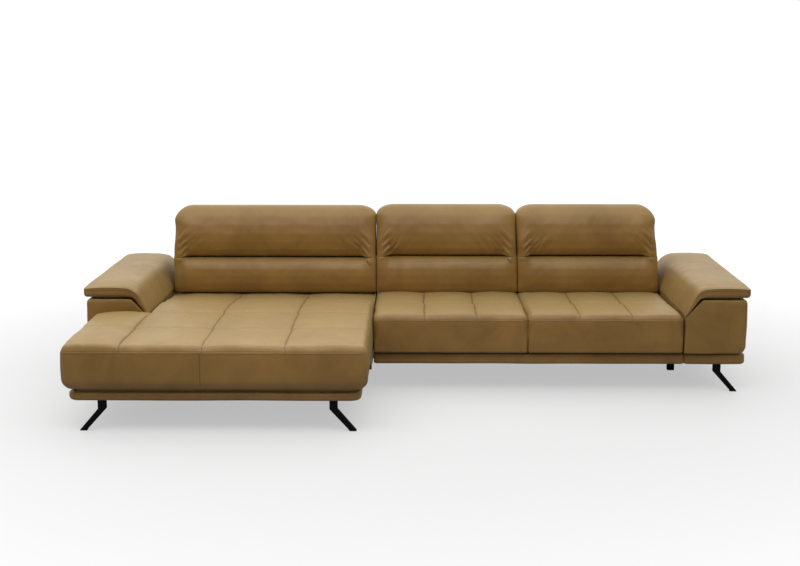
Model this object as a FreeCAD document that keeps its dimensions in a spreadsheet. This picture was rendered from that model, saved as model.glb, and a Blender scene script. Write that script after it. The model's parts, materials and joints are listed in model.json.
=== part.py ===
import FreeCAD, Part
import Sketcher
import math
import os
import re

# Corner sofa with a chaise on its left, two seats, padded arms and three headrests that tip forward.
# Millimetres. +Z is up, the front faces -Y and the origin lies on the floor under the middle.

doc = FreeCAD.newDocument("CornerSofa")

# Driving dimensions, one cell each
SIZES = {
    # plan of the sofa
    "arm_width": 330,
    "chaise_seat_width": 1146,
    "seat_width": 797,
    "unit_depth": 1060,
    "chaise_reach": 720,
    "chaise_side_inset": 61,
    "unit_gap": 6,
    "soft_gap": 4,
    "soft_clearance": 0.3,
    # base and plinth
    "ground_height": 152,
    "plinth_height": 46,
    "plinth_setback": 32,
    "plinth_band": 24,
    "plinth_edge": 8,
    "plinth_corner_radius": 38,
    "shadow_gap": 6,
    "rail_thickness": 25,
    "rail_height": 112,
    "leg_block": 92,
    "leg_block_height": 40,
    "cover_sheet": 1.2,
    "cover_margin": 12,
    "cover_hole_gap": 1,
    # springs
    "spring_wire": 4,
    "spring_pitch": 116,
    "spring_swing": 56,
    "spring_bend": 30,
    "spring_spacing": 240,
    "spring_end_gap": 3,
    "clip_width": 20,
    "clip_length": 10,
    "clip_thickness": 1.4,
    # seat cushions
    "seat_edge_height": 392,
    "seat_rear_height": 380,
    "panel_crown": 14,
    "seat_rise": 8,
    "cross_seam_dip": 7,
    "seat_cross_seam": 362,
    "chaise_cross_pitch": 370,
    "side_draw": 7,
    "front_round": 24,
    "nose_side_inset": 20,
    "nose_top_drop": 42,
    "nose_foot_lift": 32,
    # backs
    "back_front": 685,
    "crease_setback": 30,
    "crease_depth": 44,
    "crease_height": 600,
    "groove_half_angle": 19,
    "crease_gap": 2,
    "end_round": 16,
    "end_inset": 11,
    "lumbar_bulge": 12,
    "lumbar_foot_setback": 34,
    "lumbar_foot_rise": 30,
    "lumbar_foot_bow": 9,
    "lumbar_shoulder_drop": 52,
    "lumbar_shoulder_bow": 10,
    "head_top_height": 884,
    "head_thickness": 150,
    "head_bulge": 18,
    "head_lip_rise": 50,
    "head_lip_setback": 12,
    "head_lip_bow": 9,
    "head_brow_drop": 66,
    "head_brow_setback": 30,
    "head_brow_bow": 12,
    "head_crest_drop": 12,
    "head_crest_setback": 74,
    "head_crest_bow": 11,
    "head_rear_round": 34,
    "head_rear_drop": 58,
    "top_corner_radius": 104,
    "web_thickness": 2,
    "web_width": 50,
    "web_gap": 9,
    "web_margin": 20,
    "cheek_thickness": 22,
    "cheek_inset": 34,
    "back_rake": 118,
    "panel_thickness": 12,
    # headrest frames and hinges
    "hinge_plate": 4,
    "hinge_arm_width": 26,
    "hinge_eye_radius": 14,
    "hinge_pin_radius": 4,
    "hinge_running_gap": 0.05,
    "hinge_side_gap": 0.5,
    "hinge_arm_length": 190,
    "hinge_foot_length": 120,
    "hinge_pocket_gap": 2,
    "hinge_pin_end": 2,
    "head_frame_depth": 34,
    "head_frame_bar": 30,
    "head_frame_height": 200,
    "head_frame_lift": 28,
    "head_frame_setback": 17,
    # arms
    "arm_height": 552,
    "cap_overhang": 17,
    "cap_edge": 54,
    "cap_crown": 12,
    "cap_front_drop": 10,
    "cap_side_bulge": 5,
    "arm_gap": 10,
    "arm_tip_height": 404,
    "arm_bend": 84,
    "flank_thickness": 22,
    "arm_edge_radius": 22,
    "arm_foot_radius": 34,
    "arm_skin": 16,
    "arm_bar": 30,
    "batten_inset": 46,
    # legs
    "leg_width": 38,
    "leg_foot_width": 33,
    "leg_depth": 22,
    "leg_stub": 42,
    "leg_splay": 90,
    "leg_plate": 4,
    "leg_plate_size": 74,
    "leg_front_inset": 52,
    "chaise_left_leg_inset": 142,
    "chaise_right_leg_inset": 160,
    "arm_leg_inset": 122,
    "post_size": 36,
    "post_depth": 500,
    "post_inset": 38,
    "rear_leg_inset": 54,
    "glide_thickness": 4,
    "stud_radius": 4,
    "stud_length": 44,
    "stud_depth": 16,
    "connector_length": 80,
    "connector_height": 50,
}

sheet = doc.addObject("Spreadsheet::Sheet", "Sizes")
for row, (alias, number) in enumerate(SIZES.items(), start=1):
    sheet.set("A%d" % row, alias)
    sheet.set("B%d" % row, str(number))
    sheet.setAlias("B%d" % row, alias)
doc.recompute()

nodes = []


def sheet_name(word):
    return "Sizes." + word.group() if word.group() in SIZES else word.group()


def sized(expression):
    """Put the sheet's name before each alias in an expression."""
    return re.sub(r"[a-z_]+", sheet_name, expression)


def value(expression):
    """Number that an expression of sheet sizes gives now."""
    return float(sheet.evalExpression(sized(expression)))


def bind(item, bindings):
    """Bind properties of one object to expressions of sheet sizes."""
    for path, expression in bindings.items():
        item.setExpression(path, sized(expression))


def node(item, name):
    """Register one finished sub-part under its node name."""
    item.Label = name
    nodes.append(item)
    return item


# Places that several sub-parts share, as expressions of the sheet's sizes
half_inner = "(chaise_seat_width/2 + seat_width)"
half_width = f"({half_inner} + arm_width)"
joint_x = "(chaise_seat_width/2 - seat_width)"
split_x = f"({joint_x} + seat_width)"
front_y = "(-(unit_depth + chaise_reach)/2)"
seat_front_y = f"({front_y} + chaise_reach)"
rear_y = "((unit_depth + chaise_reach)/2)"
seat_bottom = "(ground_height + plinth_height + shadow_gap)"
frame_top = "(ground_height + rail_height)"
spring_top = f"({frame_top} + spring_wire + clip_thickness)"
back_y = f"({seat_front_y} + back_front)"
pivot_y = f"({back_y} + crease_setback + crease_depth)"
web_y = f"({pivot_y} + hinge_plate)"
back_frame_y = f"({web_y} + web_thickness)"
back_frame_top = "(crease_height - hinge_plate)"
cross_front = f"({back_frame_y} - rail_thickness)"
chaise_left = f"(-{half_width} + chaise_side_inset)"
band_inset = "(plinth_setback + plinth_band)"
plinth_front_chaise = f"({front_y} + plinth_setback)"
plinth_front_seat = f"({seat_front_y} + plinth_setback)"
chaise_right = f"({joint_x} - unit_gap/2)"
sofa_left = f"({joint_x} + unit_gap/2)"
body_top = "(arm_height - cap_edge - arm_gap)"
arm_outer = f"({half_width} - cap_overhang)"
arm_plinth_outer = f"({arm_outer} - shadow_gap)"


def box(name, x, y, z, long, wide, high):
    """Plain block from its lowest corner and its three lengths."""
    item = doc.addObject("Part::Box", name)
    bind(item, {
        "Placement.Base.x": x,
        "Placement.Base.y": y,
        "Placement.Base.z": z,
        "Length": long,
        "Width": wide,
        "Height": high,
    })
    return item


def span(name, low, high):
    """Plain block between two opposite corners."""
    lengths = [f"({top}) - ({bottom})" for bottom, top in zip(low, high)]
    return box(name, *low, *lengths)


def joined(name, pieces):
    """Pieces glued or welded into one solid."""
    item = doc.addObject("Part::MultiFuse", name)
    item.Shapes = pieces
    item.Refine = True
    return item


def cut(name, base, tool):
    """Base with the tool's space taken out."""
    item = doc.addObject("Part::Cut", name)
    item.Base = base
    item.Tool = tool
    item.Refine = True
    return item


def group(name, pieces):
    """Separate solids that share one node."""
    item = doc.addObject("Part::Compound", name)
    item.Links = pieces
    return item


def draw_loop(sketch, corners):
    """Closed loop of straight lines whose corners follow expressions."""
    first = sketch.GeometryCount
    places = [(value(u), value(v)) for u, v in corners]
    count = len(corners)
    for number in range(count):
        start = FreeCAD.Vector(*places[number], 0)
        end = FreeCAD.Vector(*places[(number + 1) % count], 0)
        sketch.addGeometry(Part.LineSegment(start, end))
    for number in range(count):
        after = first + (number + 1) % count
        sketch.addConstraint(Sketcher.Constraint("Coincident", first + number, 2, after, 1))
    for number, corner in enumerate(corners):
        for axis, place, kind in zip("uv", (0, 1), ("DistanceX", "DistanceY")):
            constraint = Sketcher.Constraint(kind, -1, 1, first + number, 1, places[number][place])
            index = sketch.addConstraint(constraint)
            label = f"{axis}{first + number}"
            sketch.renameConstraint(index, label)
            sketch.setExpression("Constraints." + label, sized(corner[place]))


def draw_circle(sketch, u, v, radius):
    """Circle whose centre and radius follow expressions."""
    centre = FreeCAD.Vector(value(u), value(v), 0)
    curve = sketch.addGeometry(Part.Circle(centre, FreeCAD.Vector(0, 0, 1), value(radius)))
    for kind, expression in (("DistanceX", u), ("DistanceY", v)):
        index = sketch.addConstraint(Sketcher.Constraint(kind, -1, 1, curve, 3, value(expression)))
        label = f"{kind}{curve}"
        sketch.renameConstraint(index, label)
        sketch.setExpression("Constraints." + label, sized(expression))
    index = sketch.addConstraint(Sketcher.Constraint("Radius", curve, value(radius)))
    sketch.renameConstraint(index, f"radius{curve}")
    sketch.setExpression(f"Constraints.radius{curve}", sized(radius))


AXIS_OF_PLANE = {"XY": "z", "XZ": "y", "YZ": "x"}


def profile(name, plane, loops, start, depth, circles=()):
    """Body padded from an outline in one plane, from start along that plane's axis."""
    body = doc.addObject("PartDesign::Body", name)
    flat = next(item for item in body.Origin.OriginFeatures if item.Role == plane + "_Plane")
    sketch = body.newObject("Sketcher::SketchObject", name + "_outline")
    sketch.AttachmentSupport = [(flat, "")]
    sketch.MapMode = "FlatFace"
    for loop in loops:
        draw_loop(sketch, loop)
    for circle in circles:
        draw_circle(sketch, *circle)
    pad = body.newObject("PartDesign::Pad", name + "_pad")
    pad.Profile = sketch
    pad.Reversed = plane == "XZ"
    bind(pad, {"Length": depth})
    bind(body, {f"Placement.Base.{AXIS_OF_PLANE[plane]}": start})
    doc.recompute()
    return body


def eased(body, feature, size, points):
    """Fillet or chamfer the edges of a body that lie nearest to points in its own frame."""
    base = body.Tip
    edges = []
    for point in points:
        spot = FreeCAD.Vector(*(value(part) for part in point))
        gaps = [edge.distToShape(Part.Vertex(spot))[0] for edge in base.Shape.Edges]
        edges.append(f"Edge{gaps.index(min(gaps)) + 1}")
    ease = body.newObject("PartDesign::" + feature, f"{base.Name}_{feature}")
    ease.Base = (base, edges)
    bind(ease, {EASE_SIZE[feature]: size})
    doc.recompute()
    return body


EASE_SIZE = {"Fillet": "Radius", "Chamfer": "Size"}


def rounded(body, radius, points):
    """Fillet the edges nearest to points."""
    return eased(body, "Fillet", radius, points)


def wire(points, place):
    """Closed wire of lines and arcs. Each point gives u, v and how far the next edge bows to its left."""
    edges = []
    for number, (u, v, bow) in enumerate(points):
        next_u, next_v = points[(number + 1) % len(points)][:2]
        first = place(u, v)
        last = place(next_u, next_v)
        if bow == 0:
            edges.append(Part.LineSegment(first, last).toShape())
            continue
        run = math.hypot(next_u - u, next_v - v)
        middle = place((u + next_u)/2 - bow*(next_v - v)/run, (v + next_v)/2 + bow*(next_u - u)/run)
        edges.append(Part.Arc(first, middle, last).toShape())
    return Part.Wire(edges)


def soft(name, shape):
    """Soft form whose shape is worked out from the sheet's sizes."""
    item = doc.addObject("Part::Feature", name)
    item.Shape = shape
    item.Placement = FreeCAD.Placement()
    return node(item, name)


# Where each leg stands: centre x and y
leg_spots = {
    "chaise_left_leg": (f"({chaise_left} + plinth_setback + chaise_left_leg_inset)",
                        f"({front_y} + leg_front_inset)"),
    "chaise_right_leg": (f"({chaise_right} - chaise_right_leg_inset)", f"({front_y} + leg_front_inset)"),
    "right_arm_leg": (f"({arm_plinth_outer} - arm_leg_inset)", f"({seat_front_y} + leg_front_inset)"),
    "chaise_support_post": (f"({chaise_right} - post_inset)", f"({seat_front_y} + post_depth)"),
    "sofa_support_post": (f"({half_inner} + post_inset)", f"({seat_front_y} + post_depth)"),
    "left_rear_leg": (f"(-{arm_plinth_outer} + rear_leg_inset)", f"({rear_y} - rear_leg_inset)"),
    "middle_rear_leg": (f"({chaise_right} - post_inset)", f"({rear_y} - rear_leg_inset)"),
    "right_rear_leg": (f"({arm_plinth_outer} - rear_leg_inset)", f"({rear_y} - rear_leg_inset)"),
}
frame_rear = f"({rear_y} - panel_thickness - shadow_gap)"
head_rear = f"({back_y} + crease_setback + head_thickness)"
head_frame_front = f"({back_frame_y} + head_frame_setback - hinge_plate)"


# Side that each bent leg splays to: 1 towards +X, -1 towards -X
SPLAY_SIDE = {"chaise_left_leg": -1, "chaise_right_leg": 1, "right_arm_leg": 1}


def plate_spot(spot):
    """Centre of the mounting plate on top of one leg, which runs back from a bent leg's front face."""
    x, y = leg_spots[spot]
    if spot in SPLAY_SIDE:
        return x, f"({y} + (leg_plate_size - leg_depth)/2)"
    return x, y


def studs():
    """Threaded studs: flush under the plates of bent legs and set into the tops of posts."""
    pieces = []
    for spot in leg_spots:
        x, y = plate_spot(spot)
        sunk = "leg_plate" if spot in SPLAY_SIDE else "stud_depth"
        stud = doc.addObject("Part::Cylinder", f"stud_{spot}")
        bind(stud, {
            "Placement.Base.x": x,
            "Placement.Base.y": y,
            "Placement.Base.z": f"ground_height - {sunk}",
            "Radius": "stud_radius",
            "Height": "stud_length",
        })
        pieces.append(stud)
    return pieces


leg_studs = group("leg_studs_raw", studs())


def leg_block(spot, low_x, low_y):
    """Corner block over one leg, from its lowest corner."""
    high = (f"{low_x} + leg_block", f"{low_y} + leg_block", "ground_height + leg_block_height")
    return span(f"block_{spot}", (low_x, low_y, "ground_height"), high)


def around(centre):
    """Lower bound of a corner block centred on a place."""
    return f"({centre} - leg_block/2)"


def base_frame(name, places, blocks):
    """Timber rails between plan corners, joined with their corner blocks and drilled for the leg studs."""
    rails = [span(f"{name}_{key}", (x1, y1, "ground_height"), (x2, y2, frame_top))
             for key, (x1, y1, x2, y2) in places.items()]
    timber = joined(name + "_timber", rails + blocks)
    return node(cut(name, timber, leg_studs), name)


def chaise_base():
    outer_left = f"({chaise_left} + {band_inset})"
    inner_left = f"(-{half_inner} + unit_gap/2)"
    step = f"({seat_front_y} - unit_gap)"
    front = f"({front_y} + {band_inset})"
    nose_right = f"({chaise_right} - {band_inset})"
    rail = "rail_thickness"
    inside_left = f"({inner_left} + {rail})"
    inside_right = f"({chaise_right} - {rail})"
    places = {
        "front": (outer_left, front, nose_right, f"{front} + {rail}"),
        "nose_left": (outer_left, f"{front} + {rail}", f"{outer_left} + {rail}", f"{step} - {rail}"),
        "nose_right": (f"{nose_right} - {rail}", f"{front} + {rail}", nose_right, f"{step} - {rail}"),
        "step": (outer_left, f"{step} - {rail}", nose_right, step),
        "corner": (f"{nose_right} - {rail}", step, chaise_right, f"{step} + {rail}"),
        "left": (inner_left, step, f"{inner_left} + {rail}", frame_rear),
        "right": (f"{chaise_right} - {rail}", f"{step} + {rail}", chaise_right, frame_rear),
        "cross": (inside_left, cross_front, inside_right, f"{back_frame_y} + {rail}"),
        "rear": (inside_left, f"{frame_rear} - {rail}", inside_right, frame_rear),
    }
    front_legs = ("chaise_left_leg", "chaise_right_leg")
    blocks = [leg_block(spot, around(leg_spots[spot][0]), front) for spot in front_legs]
    side = f"({chaise_right} - leg_block)"
    blocks.append(leg_block("chaise_support_post", side, around(leg_spots["chaise_support_post"][1])))
    blocks.append(leg_block("middle_rear_leg", side, f"({frame_rear} - leg_block)"))
    return base_frame("chaise_base_frame", places, blocks)


def sofa_base():
    right = f"({half_inner} - unit_gap/2)"
    front = f"({seat_front_y} + {band_inset})"
    rail = "rail_thickness"
    middle = f"({split_x} - {rail}/2)"
    places = {
        "front": (sofa_left, front, right, f"{front} + {rail}"),
        "left": (sofa_left, f"{front} + {rail}", f"{sofa_left} + {rail}", frame_rear),
        "right": (f"{right} - {rail}", f"{front} + {rail}", right, frame_rear),
        "middle": (middle, f"{front} + {rail}", f"{middle} + {rail}", frame_rear),
        "cross": (f"{sofa_left} + {rail}", cross_front, f"{right} - {rail}", f"{back_frame_y} + {rail}"),
        "rear": (f"{sofa_left} + {rail}", f"{frame_rear} - {rail}", f"{right} - {rail}", frame_rear),
    }
    return base_frame("sofa_base_frame", places, [])


def mirrored(name, side, low, high):
    """Block beside the sofa's middle plane, on the right for side 1 and on the left for side -1."""
    if side > 0:
        return span(name, low, high)
    return span(name, (f"-({high[0]})", *low[1:]), (f"-({low[0]})", *high[1:]))


def arm_frame(side_name, side):
    """Timber frame of one arm: two long floor rails, cross blocks over the legs, posts and top rails."""
    name = f"{side_name}_arm_frame"
    inner = f"({half_inner} + unit_gap/2)"
    outer = f"({arm_plinth_outer} - plinth_band)"
    front = f"({seat_front_y} + {band_inset})"
    low = "ground_height"
    floor_top = "(ground_height + leg_block_height)"
    post_inner = f"({half_inner} + 1.5*arm_skin + arm_bend)"
    roof = f"({body_top} - arm_skin - arm_bar)"
    roof_top = f"({body_top} - arm_skin)"
    roof_rear = f"({rear_y} - soft_gap - 2*arm_skin)"
    bars = {
        "floor_inner": (inner, low, floor_top, frame_rear),
        "floor_outer": (f"({outer} - arm_bar)", low, floor_top, frame_rear),
        "roof_inner": (post_inner, roof, roof_top, roof_rear),
        "roof_outer": (f"({outer} - arm_bar)", roof, roof_top, roof_rear),
    }
    pieces = [mirrored(f"{name}_{key}", side, (x, front, bottom), (f"{x} + arm_bar", rear, top))
              for key, (x, bottom, top, rear) in bars.items()]
    rows = {
        "front": front,
        "middle": around(f"({seat_front_y} + post_depth)"),
        "rear": f"({frame_rear} - leg_block)",
    }
    for row, y in rows.items():
        pieces.append(mirrored(f"{name}_{row}", side, (inner, y, low),
                               (outer, f"{y} + leg_block", floor_top)))
        for post, x in (("inner", post_inner), ("outer", f"({outer} - arm_bar)")):
            pieces.append(mirrored(f"{name}_{row}_{post}", side, (x, y, floor_top),
                                   (f"{x} + arm_bar", f"{y} + arm_bar", roof)))
    timber = joined(name + "_timber", pieces)
    return node(cut(name, timber, leg_studs), name)


chaise_base()
sofa_base()
arm_frame("left", -1)
arm_frame("right", 1)


# Legs: bent flat bars under the front, plain posts behind, each with a glide and a threaded stud

def leg_plate(name):
    """Square mounting plate under the frame."""
    x, y = plate_spot(name)
    half = "leg_plate_size/2"
    return span(name + "_plate", (f"{x} - {half}", f"{y} - {half}", "ground_height - leg_plate"),
                (f"{x} + {half}", f"{y} + {half}", "ground_height"))


def bent_leg(name, side):
    """Flat bar with a short upright stub and a foot that splays to one side, under a plate."""
    x, y = leg_spots[name]
    top = "(ground_height - leg_plate)"
    knee = f"({top} - leg_stub)"
    foot = f"({x} + {side}*leg_splay)"
    outline = [
        (f"{x} - leg_width/2", top),
        (f"{x} + leg_width/2", top),
        (f"{x} + leg_width/2", knee),
        (f"{foot} + leg_foot_width/2", "glide_thickness"),
        (f"{foot} - leg_foot_width/2", "glide_thickness"),
        (f"{x} - leg_width/2", knee),
    ]
    bar = profile(name + "_bar", "XZ", [outline], f"{y} - leg_depth/2", "leg_depth")
    rounded(bar, "leg_depth/2.5", [
        (f"{x} + leg_width/2", "leg_depth/2", knee),
        (f"{x} - leg_width/2", "leg_depth/2", knee),
    ])
    return node(cut(name, joined(name + "_steel", [bar, leg_plate(name)]), leg_studs), name)


def post_leg(name):
    """Square post under a plate."""
    x, y = leg_spots[name]
    top = "(ground_height - leg_plate)"
    post = span(name + "_post", (f"{x} - post_size/2", f"{y} - post_size/2", "glide_thickness"),
                (f"{x} + post_size/2", f"{y} + post_size/2", top))
    return node(cut(name, joined(name + "_steel", [post, leg_plate(name)]), leg_studs), name)


def glides():
    """Felt glides under every foot."""
    pads = []
    for spot, (x, y) in leg_spots.items():
        side = SPLAY_SIDE.get(spot, 0)
        foot = f"({x} + {side}*leg_splay)"
        half = "leg_foot_width/2" if side else "post_size/2"
        deep = "leg_depth/2" if side else "post_size/2"
        pads.append(span("glide_" + spot, (f"{foot} - {half}", f"{y} - {deep}", "0"),
                         (f"{foot} + {half}", f"{y} + {deep}", "glide_thickness")))
    return node(group("leg_glides", pads), "leg_glides")


for leg in leg_spots:
    if leg in SPLAY_SIDE:
        bent_leg(leg, SPLAY_SIDE[leg])
    else:
        post_leg(leg)
glides()
node(leg_studs, "leg_studs")


# Plinths: upholstered bands round the foot of each unit

def plinth(name, loop, corners, lips):
    """Band from a plan outline, with its outer corners rounded and then its top and bottom lips eased."""
    body = profile(name, "XY", [loop], "ground_height", "plinth_height")
    if corners:
        rounded(body, "plinth_corner_radius", [(x, y, "plinth_height/2") for x, y in corners])
    eased(body, "Chamfer", "plinth_edge", [(x, y, z) for x, y in lips for z in ("0", "plinth_height")])
    return node(body, name)


def chaise_plinth():
    left = f"({chaise_left} + plinth_setback)"
    right = f"({chaise_right} - plinth_setback)"
    rear = f"({seat_front_y} - unit_gap)"
    front = plinth_front_chaise
    band = "plinth_band"
    loop = [
        (left, rear), (left, front), (right, front), (right, rear),
        (f"{right} - {band}", rear), (f"{right} - {band}", f"{front} + {band}"),
        (f"{left} + {band}", f"{front} + {band}"), (f"{left} + {band}", rear),
    ]
    plinth("chaise_plinth", loop, [(left, front), (right, front)], [("0 - seat_width", front)])


def sofa_plinth():
    right = f"({half_inner} + unit_gap/2)"
    front = plinth_front_seat
    inside = f"({front} + plinth_band)"
    loop = [(sofa_left, front), (right, front), (right, inside), (sofa_left, inside)]
    plinth("sofa_plinth", loop, [], [(split_x, front)])


def arm_plinth(side_name, side):
    inner = f"({side}*({half_inner} + unit_gap))"
    outer = f"({side}*{arm_plinth_outer})"
    front = plinth_front_seat
    rear = frame_rear
    band = "plinth_band"
    loop = [
        (inner, front), (outer, front), (outer, rear), (f"{outer} - {side}*{band}", rear),
        (f"{outer} - {side}*{band}", f"{front} + {band}"), (inner, f"{front} + {band}"),
    ]
    plinth(f"{side_name}_arm_plinth", loop, [(outer, front)], [(f"{outer} - {side}*arm_width/2", front)])


chaise_plinth()
sofa_plinth()
arm_plinth("left", -1)
arm_plinth("right", 1)


# Arms: a hollow padded body with a slanted inner shoulder, and a thick cap draped over it

def arm_outline(side, skin):
    """Section of the arm's body, drawn in by a skin thickness on every side but the open bottom."""
    bottom = f"({seat_bottom} - 2*{skin})" if skin != "0" else seat_bottom
    inner = f"({half_inner} + soft_gap)"
    return [
        (f"{side}*({inner} + {skin})", bottom),
        (f"{side}*({inner} + unit_gap + {skin})", f"arm_tip_height - {skin}/3"),
        (f"{side}*({inner} + unit_gap + arm_bend + {skin}/2)", f"{body_top} - {skin}"),
        (f"{side}*({arm_outer} - {skin})", f"{body_top} - {skin}"),
        (f"{side}*({arm_outer} - {skin})", bottom),
    ]


def arm_body(side_name, side):
    name = f"{side_name}_arm_body"
    front = f"({seat_front_y} + soft_gap)"
    length = "(unit_depth - 2*soft_gap)"
    shell = profile(name + "_shell", "XZ", [arm_outline(side, "0")], front, length)
    outer = f"({side}*{arm_outer})"
    rounded(shell, "arm_edge_radius", [(outer, f"{length}/2", body_top)])
    rounded(shell, "arm_foot_radius", [(outer, f"{length}/2", seat_bottom)])
    hollow = profile(name + "_hollow", "XZ", [arm_outline(side, "arm_skin")],
                     f"({front} + arm_skin)", f"({length} - 2*arm_skin)")
    return node(cut(name, shell, hollow), name)


# Distance along an arm cap from its front or rear end, size of the section there and share of the drop
CAP_FRONT = [(0, 0.96, 1.6), (9, 1, 1), (90, 1, 0)]
CAP_REAR = [(60, 1, 0), (9, 1, 1), (0, 0.96, 1.6)]


def arm_cap(side_name, side):
    """Loft along the arm through sections that round off at both ends."""
    tip_x = value(f"{half_inner} + unit_gap/2")
    tip = value("arm_tip_height + arm_gap")
    bend_x = tip_x + value("arm_bend")
    under = value("arm_height - cap_edge")
    top = value("arm_height")
    crown = value("cap_crown")
    thick = value("flank_thickness")
    shoulder = thick*1.5
    bulge = value("cap_side_bulge")
    edge_x = value(half_width) - bulge
    outline = [
        (tip_x, tip, thick*0.36),
        (bend_x - shoulder*0.8, top - shoulder, thick/2),
        (bend_x + shoulder/2, top, crown),
        (edge_x, top - crown/2, bulge),
        (edge_x, under, 0),
        (bend_x + thick*0.4, under, 0),
        (tip_x + thick*0.45, tip - thick*0.3, thick*0.14),
    ]

    def section(y, size, drop):
        points = []
        for u, v, bow in outline:
            lowered = v - drop if v > under else v
            points.append((side*(bend_x + (u - bend_x)*size), under + (lowered - under)*size, side*bow*size))
        return wire(points, lambda u, v: FreeCAD.Vector(u, y, v))

    drop = value("cap_front_drop")
    front = value(seat_front_y)
    rear = value(rear_y)
    stations = [(front + along, size, share*drop) for along, size, share in CAP_FRONT]
    stations += [(rear - along, size, share*drop) for along, size, share in CAP_REAR]
    sections = [section(*station) for station in stations]
    return soft(f"{side_name}_arm_cap", Part.makeLoft(sections, True, True))


def cap_battens(side_name, side):
    """Timber battens that carry the cap clear of the body."""
    inner = f"({half_inner} + unit_gap + arm_bend + batten_inset)"
    outer = f"({arm_outer} - batten_inset)"
    front = f"({seat_front_y} + batten_inset)"
    rear = f"({rear_y} - batten_inset)"
    name = f"{side_name}_cap_batten"
    return node(mirrored(name, side, (inner, front, body_top), (outer, rear, f"{body_top} + arm_gap")), name)


for side_name, side in (("left", -1), ("right", 1)):
    arm_body(side_name, side)
    cap_battens(side_name, side)
    arm_cap(side_name, side)


# Backs: timber frame, elastic webs, lumbar cushion and the headrest that tips on two plate hinges

BACKS = {
    "chaise": (f"(-{half_inner} + 1.5*soft_gap)", f"({joint_x} - soft_gap)"),
    "center": (f"({joint_x} + soft_gap)", f"({split_x} - soft_gap)"),
    "right": (f"({split_x} + soft_gap)", f"({half_inner} - 1.5*soft_gap)"),
}


def back_frame(key, left, right):
    """Raked timber cheeks joined by rails."""
    name = f"{key}_back_frame"
    rear_top = f"({rear_y} - back_rake - panel_thickness)"
    outline = [
        (back_frame_y, frame_top), (frame_rear, frame_top),
        (rear_top, back_frame_top), (back_frame_y, back_frame_top),
    ]
    window = [
        (f"{back_frame_y} + 2*rail_thickness", f"{frame_top} + 2*rail_thickness"),
        (f"{rear_top} + rail_thickness", f"{frame_top} + 2*rail_thickness"),
        (f"{rear_top} - rail_thickness", f"{back_frame_top} - 4*rail_thickness"),
        (f"{back_frame_y} + 2*rail_thickness", f"{back_frame_top} - 4*rail_thickness"),
    ]
    cheeks = [f"({left} + cheek_inset)", f"({right} - cheek_inset - cheek_thickness)"]
    if key == "chaise":
        cheeks.append(f"(({left} + {right} - cheek_thickness)/2)")
    pieces = [profile(f"{name}_cheek{number}", "YZ", [outline, window], start, "cheek_thickness")
              for number, start in enumerate(cheeks)]
    inner_left = f"({left} + cheek_inset + cheek_thickness)"
    inner_right = f"({right} - cheek_inset - cheek_thickness)"
    rail = "rail_thickness"
    hinge_room = "(hinge_arm_width + head_frame_setback)"
    rails = {
        "top": (f"({back_frame_y} + {hinge_room})", f"({back_frame_top} - {rail})"),
        "foot": (back_frame_y, frame_top),
        "ledge": (f"({rear_top} - {rail})", f"({back_frame_top} - {rail})"),
        "heel": (f"({frame_rear} - 2*{rail})", frame_top),
    }
    for key_rail, (y, z) in rails.items():
        pieces.append(span(f"{name}_{key_rail}", (inner_left, y, z),
                           (inner_right, f"{y} + {rail}", f"{z} + {rail}")))
    return node(joined(name, pieces), name)


def back_webs(key, left, right):
    """Elastic webs stretched across the front of the cheeks."""
    name = f"{key}_back_webs"
    low = "(seat_rear_height + panel_crown + rail_thickness/2)"
    room = f"({back_frame_top} - web_margin - {low} - web_width)"
    gaps = max(1, int(value(f"{room}/(web_width + web_gap)")))
    bands = []
    for number in range(gaps + 1):
        z = f"({low} + {number}*{room}/{gaps})"
        bands.append(span(f"{name}_{number}", (f"{left} + cheek_inset", web_y, z),
                          (f"{right} - cheek_inset", back_frame_y, f"{z} + web_width")))
    return node(group(name, bands), name)


def hinge_spots(left, right):
    """Outer face of each fixed plate and the side it faces: 1 towards +X, -1 towards -X."""
    inset = "cheek_inset - cheek_thickness"
    return [(f"({left} + cheek_inset + cheek_thickness)", 1), (f"({right} - {inset})", -1)]


def plate(name, outline, eye_hole, near, side):
    """Stamped plate in the YZ plane with a bored, eight-sided eye, on one side of a plane of constant X."""
    start = near if side > 0 else f"({near} - hinge_plate)"
    blade = profile(name + "_blade", "YZ", [outline], start, "hinge_plate")
    hole = (pivot_y, "crease_height", eye_hole)
    turns = [math.radians(45*(number + 0.5)) for number in range(8)]
    octagon = [(f"({pivot_y} + {math.cos(turn):.4f}*hinge_eye_radius)",
                f"(crease_height + {math.sin(turn):.4f}*hinge_eye_radius)") for turn in turns]
    eye = profile(name + "_eye", "YZ", [octagon], start, "hinge_plate")
    bore = profile(name + "_bore", "YZ", [], f"({start} - hinge_plate)", "3*hinge_plate", [hole])
    return cut(name, joined(name + "_steel", [blade, eye]), bore)


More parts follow.
